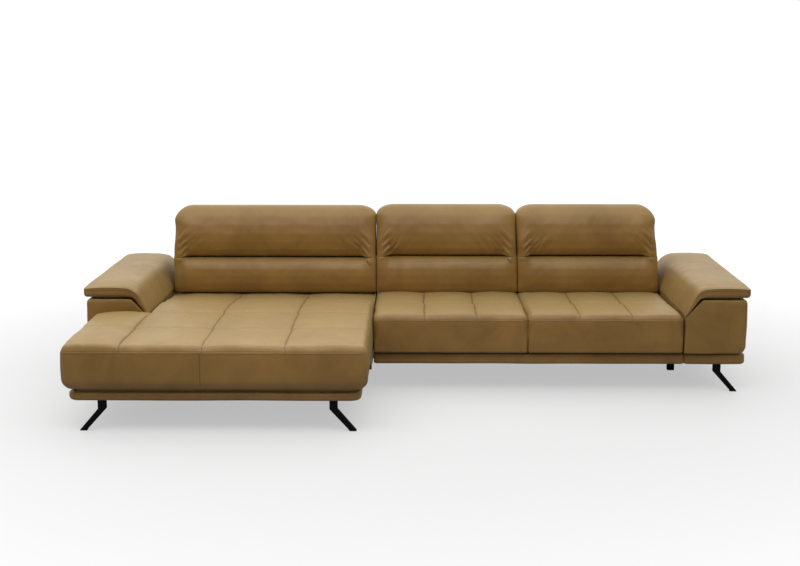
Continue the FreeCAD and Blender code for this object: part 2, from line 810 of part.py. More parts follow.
def hinges(key, left, right):
    """Fixed plates on the cheeks, moving arms on the headrest frame and the pins through both."""
    fixed = []
    moving = []
    pins = []
    strap_y = f"({back_frame_y} + hinge_side_gap)"
    arm_y = f"({back_frame_y} + head_frame_setback)"
    width = "hinge_arm_width"
    eye = "hinge_eye_radius"
    fixed_outline = [
        (strap_y, f"crease_height - {eye} - hinge_foot_length"),
        (f"{strap_y} + {width}", f"crease_height - {eye} - hinge_foot_length"),
        (f"{strap_y} + {width}", f"crease_height - {eye}"),
        (f"{pivot_y} + {eye}*0.6", f"crease_height + {eye}*0.7"),
        (f"{pivot_y} - {eye}*0.8", f"crease_height - {eye}*0.5"),
        (strap_y, f"crease_height - 1.5*{eye}"),
    ]
    moving_outline = [
        (f"{pivot_y} + {eye}*0.7", f"crease_height - {eye}*0.6"),
        (f"{arm_y} + {width}", "crease_height + head_frame_lift"),
        (f"{arm_y} + {width}", "crease_height + hinge_arm_length"),
        (arm_y, "crease_height + hinge_arm_length"),
        (arm_y, f"crease_height + head_frame_lift + {eye}*0.4"),
        (f"{pivot_y} - {eye}*0.8", f"crease_height + {eye}*0.5"),
    ]
    for number, (face, side) in enumerate(hinge_spots(left, right)):
        tag = f"{key}_hinge{number}"
        fixed.append(plate(tag + "_fixed", fixed_outline, "hinge_pin_radius", face, side))
        near = f"({face} + {side}*(hinge_plate + hinge_side_gap))"
        bore = "hinge_pin_radius + hinge_running_gap"
        moving.append(plate(tag + "_moving", moving_outline, bore, near, side))
        long = "(2*hinge_plate + hinge_side_gap + hinge_pin_end)"
        start = face if side > 0 else f"({face} - {long})"
        round_pin = (pivot_y, "crease_height", "hinge_pin_radius")
        pins.append(profile(tag + "_pin", "YZ", [], start, long, [round_pin]))
    node(group(f"{key}_hinge_plates", fixed), f"{key}_hinge_plates")
    node(group(f"{key}_hinge_arms", moving), f"{key}_hinge_arms")
    node(group(f"{key}_hinge_pins", pins), f"{key}_hinge_pins")


def head_frame_sides(left, right):
    """X of the headrest frame's outer faces, just inside the moving arms."""
    stack = "(cheek_inset + cheek_thickness + 2*hinge_plate + hinge_side_gap)"
    return f"({left} + {stack})", f"({right} - {stack})"


def head_frame(key, left, right):
    """Timber ring inside the headrest, screwed to the moving arms."""
    name = f"{key}_headrest_frame"
    low_x, high_x = head_frame_sides(left, right)
    low_z = "(crease_height + head_frame_lift)"
    high_z = f"({low_z} + head_frame_height)"
    bar = "head_frame_bar"
    outline = [(low_x, low_z), (high_x, low_z), (high_x, high_z), (low_x, high_z)]
    middle = f"(({low_x} + {high_x})/2)"
    openings = [(f"({low_x} + {bar})", f"({middle} - {bar}/2)"),
                (f"({middle} + {bar}/2)", f"({high_x} - {bar})")]
    bottom = f"({low_z} + {bar})"
    upper = f"({high_z} - {bar})"
    windows = [[(first, bottom), (last, bottom), (last, upper), (first, upper)] for first, last in openings]
    ring = profile(name, "XZ", [outline, *windows], head_frame_front, "head_frame_depth")
    rounded(ring, "head_frame_bar", [(x, "head_frame_depth/2", high_z) for x in (low_x, high_x)])
    return node(ring, name)


def ends(left, right, rises):
    """Stations along a cushion's width, mirrored from its left end: place and the end's own number."""
    from_left = [(left + along, step) for along, step in rises]
    from_right = [(right - along, step) for along, step in reversed(rises)]
    return from_left + from_right


def lumbar_cushion(key, left, right):
    """Loft across the back: a bulged front, a top that slopes into the crease and drawn-in ends."""
    front = value(back_y)
    rear = value(web_y) - value("soft_clearance")
    low = value("seat_rear_height + panel_crown + soft_clearance")
    high = value("crease_height - crease_gap/2")
    setback = value("crease_setback")
    slope = math.tan(math.radians(value("groove_half_angle")))
    bulge = value("lumbar_bulge")
    foot_bow = value("lumbar_foot_bow")
    shoulder_bow = value("lumbar_shoulder_bow")
    foot_rise = value("lumbar_foot_rise")

    def section(x, tight):
        inset = value("end_inset")*tight
        foot = low + max(0, inset)
        face = front + inset
        lip = face + setback
        points = [
            (rear, foot, 0),
            (face + value("lumbar_foot_setback"), foot, foot_bow*(1 - tight/2)),
            (face + foot_rise/8, foot + foot_rise, bulge*(1 - tight/2)),
            (face + setback/4, high - value("lumbar_shoulder_drop") - inset, shoulder_bow*(1 - tight/2)),
            (lip, high - slope*(rear - lip), 0),
            (rear, high, 0),
        ]
        return wire(points, lambda u, v: FreeCAD.Vector(x, u, v))

    round_end = value("end_round")
    stations = ends(value(left), value(right), [(0, 1), (round_end, 0)])
    body = Part.makeLoft([section(x, tight) for x, tight in stations], True, True)
    pocket_y = value(f"{pivot_y} - hinge_eye_radius - hinge_pocket_gap")
    pocket_z = value("crease_height - 1.5*hinge_eye_radius - hinge_pocket_gap")
    past = value("head_thickness")
    for face, side in hinge_spots(left, right):
        start = value(face) - value("hinge_pocket_gap") if side > 0 else value(face) - hinge_stack()
        room = Part.makeBox(hinge_stack() + value("hinge_pocket_gap"), past, past,
                            FreeCAD.Vector(start, pocket_y, pocket_z))
        body = body.cut(room)
    return soft(f"{key}_lumbar_cushion", body)


def hinge_stack():
    """Room that one hinge takes across the width."""
    return value("2*hinge_plate + hinge_side_gap + 2*hinge_pocket_gap")


def head_cushion(key, left, right):
    """Loft across the headrest with large rounded top corners, hollowed for its frame and hinges."""
    front = value(back_y)
    apex = value(pivot_y)
    low = value("crease_height + crease_gap/2")
    top = value("head_top_height")
    rear = value(head_rear)
    radius = value("top_corner_radius")
    slope = math.tan(math.radians(value("groove_half_angle")))
    crest = value("head_crest_drop")

    def section(x, along):
        fall = radius - math.sqrt(max(0, radius**2 - max(0, radius - along)**2))
        tight = max(0, 1 - along/value("end_round"))
        inset = value("end_inset")*tight**2
        loose = 1 - tight/2
        face = front + inset
        lip = front + value("crease_setback") + inset/2
        head = top - fall
        back = rear - inset
        points = [
            (back, low, 0),
            (apex, low, 0),
            (lip, low + slope*(apex - lip), value("head_lip_bow")*loose),
            (face + value("head_lip_setback"), low + value("head_lip_rise"), value("head_bulge")*loose),
            (face + value("head_brow_setback"), head - value("head_brow_drop") + fall/4,
             value("head_brow_bow")*loose),
            (face + value("head_crest_setback"), head - crest + fall/12, value("head_crest_bow")*loose),
            (back - value("head_rear_round"), head - crest + fall/12, 0),
            (back, head - value("head_rear_drop") + fall/5, 0),
        ]
        return wire(points, lambda u, v: FreeCAD.Vector(x, u, v))

    stops = [0, radius*0.08, radius*0.36, radius]
    places = [(value(left) + along, along) for along in stops]
    places += [(value(right) - along, along) for along in reversed(stops)]
    body = Part.makeLoft([section(x, along) for x, along in places], True, True)

    clear = value("soft_clearance")
    gap = value("hinge_pocket_gap")
    room_y = apex - value("hinge_eye_radius") - gap
    arm_rear = value(f"{back_frame_y} + head_frame_setback + hinge_arm_width") + gap
    frame_front = value(head_frame_front) - clear
    frame_depth = value("head_frame_depth") + 2*clear
    below = low - value("head_frame_lift")
    arm_top = value("crease_height + hinge_arm_length") + gap
    for face, side in hinge_spots(left, right):
        start = value(face) - gap if side > 0 else value(face) - hinge_stack()
        room = Part.makeBox(hinge_stack() + gap, arm_rear - room_y, arm_top - below,
                            FreeCAD.Vector(start, room_y, below))
        body = body.cut(room)
    low_x, high_x = (value(edge) for edge in head_frame_sides(left, right))
    frame_top_z = value("crease_height + head_frame_lift + head_frame_height") + clear
    room = Part.makeBox(high_x - low_x + 2*clear, frame_depth, frame_top_z - below,
                        FreeCAD.Vector(low_x - clear, frame_front, below))
    return soft(f"{key}_headrest_cushion", body.cut(room))


def rear_panel(name, left, right):
    """Raked upholstered panel behind a unit, with a padded ledge over the frame."""
    thick = "panel_thickness"
    foot = f"({rear_y} - shadow_gap)"
    head = f"({rear_y} - back_rake)"
    ledge = f"({head_rear} + soft_gap)"
    outline = [
        (foot, "ground_height"), (foot, frame_top), (head, f"crease_height + {thick}"),
        (ledge, f"crease_height + {thick}"), (ledge, "crease_height"),
        (f"{head} - {thick}", "crease_height"), (f"{foot} - {thick}", frame_top),
        (f"{foot} - {thick}", "ground_height"),
    ]
    body = profile(name, "YZ", [outline], left, f"({right}) - ({left})")
    rounded(body, "panel_thickness*0.9", [(f"(({right}) - ({left}))/2", head, f"crease_height + {thick}")])
    return node(body, name)


for key, (left, right) in BACKS.items():
    back_frame(key, left, right)
    back_webs(key, left, right)
    hinges(key, left, right)
    head_frame(key, left, right)
    lumbar_cushion(key, left, right)
    head_cushion(key, left, right)
rear_panel("chaise_rear_panel", f"(-{half_inner} + unit_gap/2)", chaise_right)
rear_panel("sofa_rear_panel", sofa_left, f"({half_inner} - unit_gap/2)")

# Seat cushions: lofts from front to back, with a crowned panel between each pair of sewn channels

def panel_section(y, seams, low, height, crown, tight):
    """Section across a seat: flat bottom, bowed sides and one crowned arc per panel."""
    inset = value("nose_side_inset")*tight
    draw = value("side_draw")
    top = height - value("nose_top_drop")*tight
    foot = low + value("nose_foot_lift")*tight
    left = seams[0] + draw + inset
    right = seams[-1] - draw - inset
    points = [(left, foot, 0), (right, foot, -draw)]
    tops = [right, *reversed(seams[1:-1])]
    points += [(x, top, -crown) for x in tops]
    points.append((left, top, -draw))
    return wire(points, lambda u, v: FreeCAD.Vector(u, y, v))


def seat_stations(length, cross_seams, rear_start):
    """Places along a seat: distance from the front, height above the edge, crown share and tightness."""
    crown = value("panel_crown")
    rise = value("seat_rise")
    dip = value("cross_seam_dip")
    fall = value("seat_edge_height - seat_rear_height")
    nose = value("front_round")
    stops = [(0, 0, 0.3, 1), (nose*0.3, 0, 0.4, 0.25), (nose, 0, 0.5, 0)]
    before = 0
    for seam in [*cross_seams, rear_start]:
        stops.append(((before + seam)/2, rise, 1, 0))
        if seam != rear_start:
            stops.append((seam, rise - dip, 1, 0))
        before = seam
    stops += [(rear_start - nose, rise*0.3 - fall*0.5, 1, 0), (rear_start, -fall, 1, 0), (length, -fall, 1, 0)]
    return [(along, up, share*crown, tight) for along, up, share, tight in stops]


def seat_loft(front, seams, stations):
    edge = value("seat_edge_height")
    low = value(seat_bottom)
    sections = [panel_section(front + along, seams, low, edge + up, crown, tight)
                for along, up, crown, tight in stations]
    return Part.makeLoft(sections, True, True)


def spring_room(low_x, high_x, low_y, high_y):
    """Space under a cushion for the rails, springs and clips."""
    clear = value("soft_clearance")
    bottom = value(seat_bottom + " - shadow_gap")
    top = value(spring_top) + clear
    return Part.makeBox(high_x - low_x, high_y - low_y, top - bottom, FreeCAD.Vector(low_x, low_y, bottom))


def seat_cushion(key, left, right):
    """Square seat of three panels with one cross seam."""
    low_x = value(left)
    high_x = value(right)
    front = value(seat_front_y)
    past = value("rail_thickness")
    length = value(f"{web_y} - {seat_front_y} - soft_clearance")
    pitch = (high_x - low_x)/3
    seams = [low_x, low_x + pitch, low_x + 2*pitch, high_x]
    stations = seat_stations(length, [value("seat_cross_seam")], value("back_front"))
    body = seat_loft(front, seams, stations)
    start = front + value(band_inset) - value("soft_clearance")
    room = spring_room(low_x - past, high_x + past, start, front + length + past)
    return soft(f"{key}_seat_cushion", body.cut(room))


def chaise_cushion():
    """Long seat of four panels whose left panel stops at the arm."""
    front = value(front_y)
    reach = value("chaise_reach") - value("unit_gap")
    length = value(f"{web_y} - {front_y} - soft_clearance")
    left = value(f"-{half_inner} + soft_gap")
    right = value(f"{joint_x} - soft_gap")
    pitch = value("chaise_seat_width")/3
    inner_seams = [left + pitch - value("soft_gap"), right - pitch + value("soft_gap")]
    cross = [value("chaise_cross_pitch")*number for number in (1, 2, 3)]
    stations = seat_stations(length, cross, value("chaise_reach + back_front"))
    nose = [stop for stop in stations if stop[0] < reach]
    rest = [stop for stop in stations if stop[0] > reach]
    meeting = (reach, *nose[-1][1:])
    nose_seams = [value(chaise_left), left, *inner_seams, right]
    body = seat_loft(front, nose_seams, nose + [meeting])
    body = body.fuse(seat_loft(front, nose_seams[1:], [meeting] + rest)).removeSplitter()
    clear = value("soft_clearance")
    past = value("rail_thickness")
    nose_left = value(f"{chaise_left} + {band_inset}") - clear
    nose_right = value(f"{chaise_right} - {band_inset}") + clear
    start = front + value(band_inset) - clear
    body = body.cut(spring_room(nose_left, nose_right, start, front + reach + past))
    step = front + reach - value("rail_thickness") - clear
    body = body.cut(spring_room(left - past, right + past, step, front + length + past))
    return soft("chaise_seat_cushion", body)


# Springs: flat-bent zigzag wires from rail to rail, held by clip plates

def zigzag(x, start, end):
    """Zigzag wire of square section along Y, with a short straight at the side of every run."""
    swing = value("spring_swing")
    half_bend = value("spring_bend")/2
    runs = max(2, round((end - start)/value("spring_pitch")))
    pitch = (end - start)/(runs + 1)
    line = [(x, start)]
    for number in range(1, runs + 1):
        side_x = x + swing*(-1)**number
        line += [(side_x, start + pitch*number - half_bend), (side_x, start + pitch*number + half_bend)]
    line.append((x, end))
    half = value("spring_wire")/2
    outline = offset_line(line, half) + offset_line(line, -half)[::-1]
    base = value(frame_top)
    corners = [FreeCAD.Vector(u, v, base) for u, v in outline]
    face = Part.Face(Part.makePolygon(corners + corners[:1]))
    return face.extrude(FreeCAD.Vector(0, 0, value("spring_wire")))


def offset_line(line, away):
    """Polyline moved sideways by a distance, mitred at its corners."""
    moved = []
    for number, (x, y) in enumerate(line):
        before = line[max(0, number - 1)]
        after = line[min(len(line) - 1, number + 1)]
        first = unit(x - before[0], y - before[1]) if number else unit(after[0] - x, after[1] - y)
        last = unit(after[0] - x, after[1] - y) if number < len(line) - 1 else first
        normal = (-(first[1] + last[1]), first[0] + last[0])
        scale = away/(1 + first[0]*last[0] + first[1]*last[1])
        moved.append((x + normal[0]*scale, y + normal[1]*scale))
    return moved


def unit(x, y):
    long = math.hypot(x, y)
    return x/long, y/long


clips = []


def spring_row(low_x, high_x, start, end):
    """Springs side by side between two rails, with a clip plate on each end."""
    count = max(2, round((high_x - low_x)/value("spring_spacing")))
    gap = (high_x - low_x)/count
    wires = []
    wide = value("clip_width")
    long = value("clip_length")
    top = value(f"{frame_top} + spring_wire")
    for number in range(count):
        x = low_x + gap*(number + 0.5)
        wires.append(zigzag(x, start, end))
        for y in (start, end - long):
            corner = FreeCAD.Vector(x - wide/2, y, top)
            clips.append(Part.makeBox(wide, long, value("clip_thickness"), corner))
    return wires


def all_springs():
    rail = value("rail_thickness")
    side = value("clip_width")
    apart = value("spring_end_gap")
    front = value(f"{seat_front_y} + {band_inset}") + rail/4
    end = value(back_frame_y) - apart
    low = value(sofa_left) + rail + side
    split = value(split_x)
    high = value(f"{half_inner} - unit_gap/2") - rail - side
    soft("center_seat_springs", Part.Compound(spring_row(low, split - side, front, end)))
    soft("right_seat_springs", Part.Compound(spring_row(split + side, high, front, end)))
    nose = value(f"{front_y} + {band_inset}") + rail/4
    step = value(f"{seat_front_y} - unit_gap")
    nose_low = value(f"{chaise_left} + {band_inset}") + rail + side
    nose_high = value(f"{chaise_right} - {band_inset}") - rail - side
    rest_low = value(f"-{half_inner} + unit_gap/2") + rail + side
    rest_high = value(chaise_right) - rail - side
    wires = spring_row(nose_low, nose_high, nose, step - rail/2 - apart)
    wires += spring_row(rest_low, rest_high, step - rail/2 + apart, end)
    soft("chaise_seat_springs", Part.Compound(wires))
    soft("spring_clips", Part.Compound(clips))


# Underside: dust covers cut round the leg plates, and spacer plates that tie the units together

def dust_covers():
    """Cloth stapled under each unit."""
    margin = "cover_margin"
    low = "(ground_height - cover_sheet)"
    step = f"({seat_front_y} - unit_gap)"
    inner_left = f"(-{half_inner} + unit_gap/2 + {margin})"
    sheets = {
        "nose": ((f"{chaise_left} + {band_inset} + {margin}", f"{front_y} + {band_inset} + {margin}"),
                 (f"{chaise_right} - {band_inset} - {margin}", step)),
        "rest": ((inner_left, step), (f"{chaise_right} - {margin}", f"{frame_rear} - {margin}")),
        "sofa": ((f"{sofa_left} + {margin}", f"{seat_front_y} + {band_inset} + {margin}"),
                 (f"{half_inner} - unit_gap/2 - {margin}", f"{frame_rear} - {margin}")),
    }
    pieces = {}
    for key, (first, last) in sheets.items():
        pieces[key] = span(f"cover_{key}", (*first, low), (*last, "ground_height"))
    pieces["nose"] = joined("cover_chaise", [pieces["nose"], pieces.pop("rest")])
    for side_name, side in (("left", -1), ("right", 1)):
        first = (f"{half_inner} + unit_gap/2 + {margin}", f"{seat_front_y} + {band_inset} + {margin}", low)
        last = (f"{arm_plinth_outer} - plinth_band - {margin}", f"{frame_rear} - {margin}", "ground_height")
        pieces[side_name] = mirrored(f"cover_{side_name}_arm", side, first, last)
    holes = []
    room = "(leg_plate_size/2 + cover_hole_gap)"
    for spot in leg_spots:
        x, y = plate_spot(spot)
        holes.append(span(f"cover_hole_{spot}", (f"{x} - {room}", f"{y} - {room}", f"{low} - cover_sheet"),
                          (f"{x} + {room}", f"{y} + {room}", "ground_height + cover_sheet")))
    tools = joined("cover_holes", holes)
    covers = [cut(f"cover_{key}_cut", piece, tools) for key, piece in pieces.items()]
    return node(group("dust_covers", covers), "dust_covers")


def unit_connectors():
    """Spacer plates between neighbouring frames, two at each joint."""
    low = "(ground_height + leg_block_height)"
    places = {"front": f"({seat_front_y} + {band_inset})", "rear": f"({frame_rear} - connector_length)"}
    plates = []
    for key, x in (("left", f"-{half_inner}"), ("middle", joint_x), ("right", half_inner)):
        for place, y in places.items():
            first = (f"{x} - unit_gap/2", y, f"{low} - connector_height/2")
            last = (f"{x} + unit_gap/2", f"{y} + connector_length", f"{low} + connector_height/2")
            plates.append(span(f"connector_{key}_{place}", first, last))
    return node(group("unit_connectors", plates), "unit_connectors")


seat_cushion("center", f"{joint_x} + soft_gap", f"{split_x} - soft_gap/2")
seat_cushion("right", f"{split_x} + soft_gap/2", f"{half_inner} - soft_gap")
chaise_cushion()
all_springs()
dust_covers()
unit_connectors()

# Every object is tested before anything is written
doc.recompute()
for item in doc.Objects:
    troubles = [state for state in item.State if state in ("Invalid", "Error")]
    if troubles:
        raise RuntimeError(f"{item.Name} is {troubles}")
for item in nodes:
    if item.Shape.isNull() or not item.Shape.isValid():
        raise RuntimeError(f"{item.Label} has no valid shape")

os.makedirs("parts", exist_ok=True)
for item in nodes:
    item.Shape.exportStep(f"parts/{item.Label}.step")
    print(item.Label, len(item.Shape.Solids), round(item.Shape.Volume/1000), "cm3")
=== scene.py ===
import json
import math
import bpy
import numpy as np
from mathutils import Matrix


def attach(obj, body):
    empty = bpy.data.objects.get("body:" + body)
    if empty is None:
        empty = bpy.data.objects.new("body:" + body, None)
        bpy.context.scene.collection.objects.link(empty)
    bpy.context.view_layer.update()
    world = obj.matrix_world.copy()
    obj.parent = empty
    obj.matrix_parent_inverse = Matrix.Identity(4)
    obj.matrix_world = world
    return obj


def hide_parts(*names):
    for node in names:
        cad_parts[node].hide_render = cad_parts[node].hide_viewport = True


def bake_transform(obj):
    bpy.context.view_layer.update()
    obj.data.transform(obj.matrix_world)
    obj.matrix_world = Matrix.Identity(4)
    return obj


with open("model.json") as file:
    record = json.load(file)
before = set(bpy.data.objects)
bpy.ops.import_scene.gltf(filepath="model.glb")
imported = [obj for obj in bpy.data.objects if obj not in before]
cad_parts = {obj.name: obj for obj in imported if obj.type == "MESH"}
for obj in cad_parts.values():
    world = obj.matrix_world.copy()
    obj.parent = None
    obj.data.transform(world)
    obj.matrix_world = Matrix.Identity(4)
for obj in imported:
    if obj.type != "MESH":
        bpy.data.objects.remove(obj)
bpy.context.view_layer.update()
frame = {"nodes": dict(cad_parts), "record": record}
print("frame loaded")

# Places that the pieces share, in metres; the front is toward -y
plan = {
    "halfInner": 1.370, "jointX": -0.224, "splitX": 0.573, "frontY": -0.890, "seatFrontY": -0.170,
    "backY": 0.515, "webY": 0.593, "pivotY": 0.589, "crease": 0.600, "top": 0.884, "gap": 0.004,
    "halfSplit": 0.0015, "seatCrosses": [0.362],
}


# Meshes: a box of grid lines, rounded at its edges, that each piece then bends into its own shape

def linesBetween(low, high, step, radius, spots=(), near=(0, 0.0016, 0.0036, 0.0065, 0.011, 0.018)):
    # even steps, more lines round both ends and beside each spot, none nearer than 0.7 mm
    middle = np.linspace(low + radius, high - radius, max(2, round((high - low - 2*radius)/step) + 1))
    turn = radius*(1 - np.tan(np.linspace(0, math.pi/4, 8)))
    near = np.array(near)
    wanted = np.concatenate([[low, high], low + turn, high - turn, middle])
    strong = np.concatenate([[low, high]] + [np.r_[spot - near, spot + near] for spot in spots])
    strong = np.unique(strong[(strong >= low) & (strong <= high)])
    gaps = np.abs(wanted[:, None] - strong[None]).min(1)
    every = np.unique(np.r_[strong, wanted[gaps > 0.0025]])
    keep = np.r_[True, np.diff(every) > 0.0007]
    keep[-1] = True
    return every[keep]


def boxGrid(xs, ys, zs):
    # the points of a box's six faces, each once, and the quads between them, all facing out
    shape = (len(xs), len(ys), len(zs))
    skin = np.zeros(shape, bool)
    skin[[0, -1]] = skin[:, [0, -1]] = skin[:, :, [0, -1]] = True
    index = np.full(shape, -1)
    index[skin] = np.arange(skin.sum())
    points = np.stack(np.meshgrid(xs, ys, zs, indexing="ij"), -1)[skin]

    def quads(sheet, turned):
        corners = [sheet[:-1, :-1], sheet[1:, :-1], sheet[1:, 1:], sheet[:-1, 1:]]
        faces = np.stack(corners, -1).reshape(-1, 4)
        return faces[:, ::-1] if turned else faces

    faces = [quads(index[:, :, -1], False), quads(index[:, :, 0], True),
             quads(index[:, 0, :], False), quads(index[:, -1, :], True),
             quads(index[-1], False), quads(index[0], True)]
    return points, np.concatenate(faces)


def unit(values):
    return values/np.linalg.norm(values, axis=1, keepdims=True)


def lengthAlong(line):
    # the distance from the start of a polyline to each of its points
    return np.r_[0, np.cumsum(np.linalg.norm(np.diff(line, axis=0), axis=1))]


def readAt(places, along, values):
    # each column of values, known at these lengths along a line, read at other places on it
    return np.stack([np.interp(places, along, column) for column in values.T], -1)


def roundOff(points, low, high, radii):
    # a point less than a radius from an edge goes onto the ellipsoid of these radii; the rest stays flat
    radius = np.stack([np.broadcast_to(r, len(points)) for r in radii(points)], -1)
    inner = np.clip(points, low + radius, high - radius)
    way = unit((points - inner)/radius)
    return inner + way*radius, way


def mix(start, end, share):
    return start + (end - start)*share


def smooth(value, low, high):
    # 0 below low, 1 above high, and 3t2 - 2t3 between
    t = np.clip((value - low)/(high - low), 0, 1)
    return t*t*(3 - 2*t)


def bump(distance, width):
    # bell curve: 1 at no distance, 1/e at the width
    return np.exp(-(distance/width)**2)


def ripple(points, wave, seed):
    # soft noise from -1 to 1: the mean of nine plane waves of about this wavelength in random directions
    random = np.random.default_rng(seed)
    ways = unit(random.normal(size=(9, 3)))
    ways *= 2*math.pi/(wave*random.uniform(0.7, 1.5, (9, 1)))
    phases = random.uniform(0, 2*math.pi, 9)
    return np.sin(points @ ways.T + phases).sum(1)/4


def makePiece(name, points, faces, material, marks=None):
    mesh = bpy.data.meshes.new(name)
    mesh.vertices.add(len(points))
    mesh.vertices.foreach_set("co", np.asarray(points, np.float32).ravel())
    sides = faces.shape[1]
    mesh.loops.add(faces.size)
    mesh.loops.foreach_set("vertex_index", faces.astype(np.int32).ravel())
    mesh.polygons.add(len(faces))
    mesh.polygons.foreach_set("loop_start", np.arange(0, faces.size, sides, dtype=np.int32))
    mesh.polygons.foreach_set("use_smooth", np.full(len(faces), True))
    mesh.update(calc_edges=True)
    mesh.validate()
    for key, values in (marks or {}).items():
        spread = np.broadcast_to(values, len(points)).astype(np.float32)
        mesh.attributes.new(key, "FLOAT", "POINT").data.foreach_set("value", spread)
    mesh.materials.append(material)
    piece = bpy.data.objects.new(name, mesh)
    bpy.context.scene.collection.objects.link(piece)
    return piece


def blockPiece(name, lines, radii, form, material, mirrored=False):
    # a box of these grid lines, rounded off, bent by form(points, way) and, for the left side, mirrored
    points, faces = boxGrid(*lines)
    low, high = (np.array([line[end] for line in lines]) for end in (0, -1))
    points, marks = form(*roundOff(points, low, high, radii))
    if mirrored:
        points = points*np.array([-1, 1, 1])
        faces = faces[:, ::-1]
    return makePiece(name, points, faces, material, marks)


def surfaceLine(lines, radii, form, places, side=1):
    # where form takes points of the box's skin: the path of a seam and the way it faces
    low, high = (np.array([line[end] for line in lines]) for end in (0, -1))
    rounded, way = roundOff(places, low, high, radii)
    points, _ = form(rounded, way)
    flip = np.array([side, 1, 1])
    return points*flip, way*flip


def curveThrough(corners, count, rounds=3):
    # a polyline whose corners are cut at a quarter of each side several times, then spaced evenly
    line = np.array(corners, float)
    for _ in range(rounds):
        early = line[:-1]*0.75 + line[1:]*0.25
        late = line[:-1]*0.25 + line[1:]*0.75
        cuts = np.stack([early, late], 1).reshape(-1, line.shape[1])
        line = np.concatenate([line[:1], cuts, line[-1:]])
    along = lengthAlong(line)
    return readAt(np.linspace(0, along[-1], count), along, line)


def stitchRow(name, path, ways, body, look):
    # short threads along a path, half a thread proud of it: each is a spindle of five rings of six corners
    along = lengthAlong(path)
    starts = np.arange(look["pitch"]/2, along[-1] - look["pitch"]/2, look["pitch"])
    half = look["length"]/2
    spots = readAt(starts, along, path)
    ahead = unit(readAt(starts + half, along, path) - readAt(starts - half, along, path))
    ups = unit(readAt(starts, along, ways))
    across = np.cross(ahead, ups)
    share, girth = np.array([[-0.5, 0.25], [-0.34, 0.9], [0, 1.0], [0.34, 0.9], [0.5, 0.25]]).T
    turns = np.arange(6)*math.pi/3
    lift = (1 - (share*2)**2)*look["thick"]*0.4
    upward = lift[:, None] + np.sin(turns)[None]*girth[:, None]*look["thick"]/2
    sideways = np.cos(turns)[None]*girth[:, None]*look["thick"]/2
    points = (spots[:, None, None] + ahead[:, None, None]*(share*look["length"])[None, :, None, None]
              + ups[:, None, None]*upward[None, :, :, None]
              + across[:, None, None]*sideways[None, :, :, None])
    rings = np.arange(30).reshape(5, 6)
    after = np.roll(rings, -1, 1)
    sides = np.stack([rings[:-1], rings[1:], after[1:], after[:-1]], -1).reshape(-1, 4)
    ends = np.array([[0, 1, 2, 3], [0, 3, 4, 5], [27, 26, 25, 24], [29, 28, 27, 24]])
    quads = np.concatenate([sides, ends])[:, ::-1]
    faces = (quads[None] + 30*np.arange(len(spots))[:, None, None]).reshape(-1, 4)
    piece = makePiece(name, points.reshape(-1, 3), faces, thread)
    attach(piece, body)


# Materials

def newMaterial(name):
    material = bpy.data.materials.new(name)
    material.use_nodes = True
    tree = material.node_tree
    shader = next(node for node in tree.nodes if node.type == "BSDF_PRINCIPLED")
    return material, tree, shader


def addNode(tree, kind, settings=None, inputs=None):
    node = tree.nodes.new(kind)
    for key, value in (settings or {}).items():
        setattr(node, key, value)
    for key, value in (inputs or {}).items():
        node.inputs[key].default_value = value
    return node


def mixColours(tree, factor, start, end, blend="MIX"):
    # a mix of two colours; factor, start and end are each a socket or a plain value
    node = addNode(tree, "ShaderNodeMix", {"data_type": "RGBA", "blend_type": blend})
    for key, value in (("Factor", factor), ("A", start), ("B", end)):
        if isinstance(value, bpy.types.NodeSocket):
            tree.links.new(value, node.inputs[key])
        else:
            node.inputs[key].default_value = (*value, 1) if isinstance(value, tuple) else value
    return node.outputs["Result"]


def newGroup(name, ins, outs):
    # ins and outs are (name, kind, default); returns the tree with its two end nodes
    tree = bpy.data.node_groups.new(name, "ShaderNodeTree")
    for label, kind, default in ins:
        socket = tree.interface.new_socket(label, in_out="INPUT", socket_type=kind)
        if default is not None:
            socket.default_value = default
    for label, kind in outs:
        tree.interface.new_socket(label, in_out="OUTPUT", socket_type=kind)
    return tree, tree.nodes.new("NodeGroupInput"), tree.nodes.new("NodeGroupOutput")


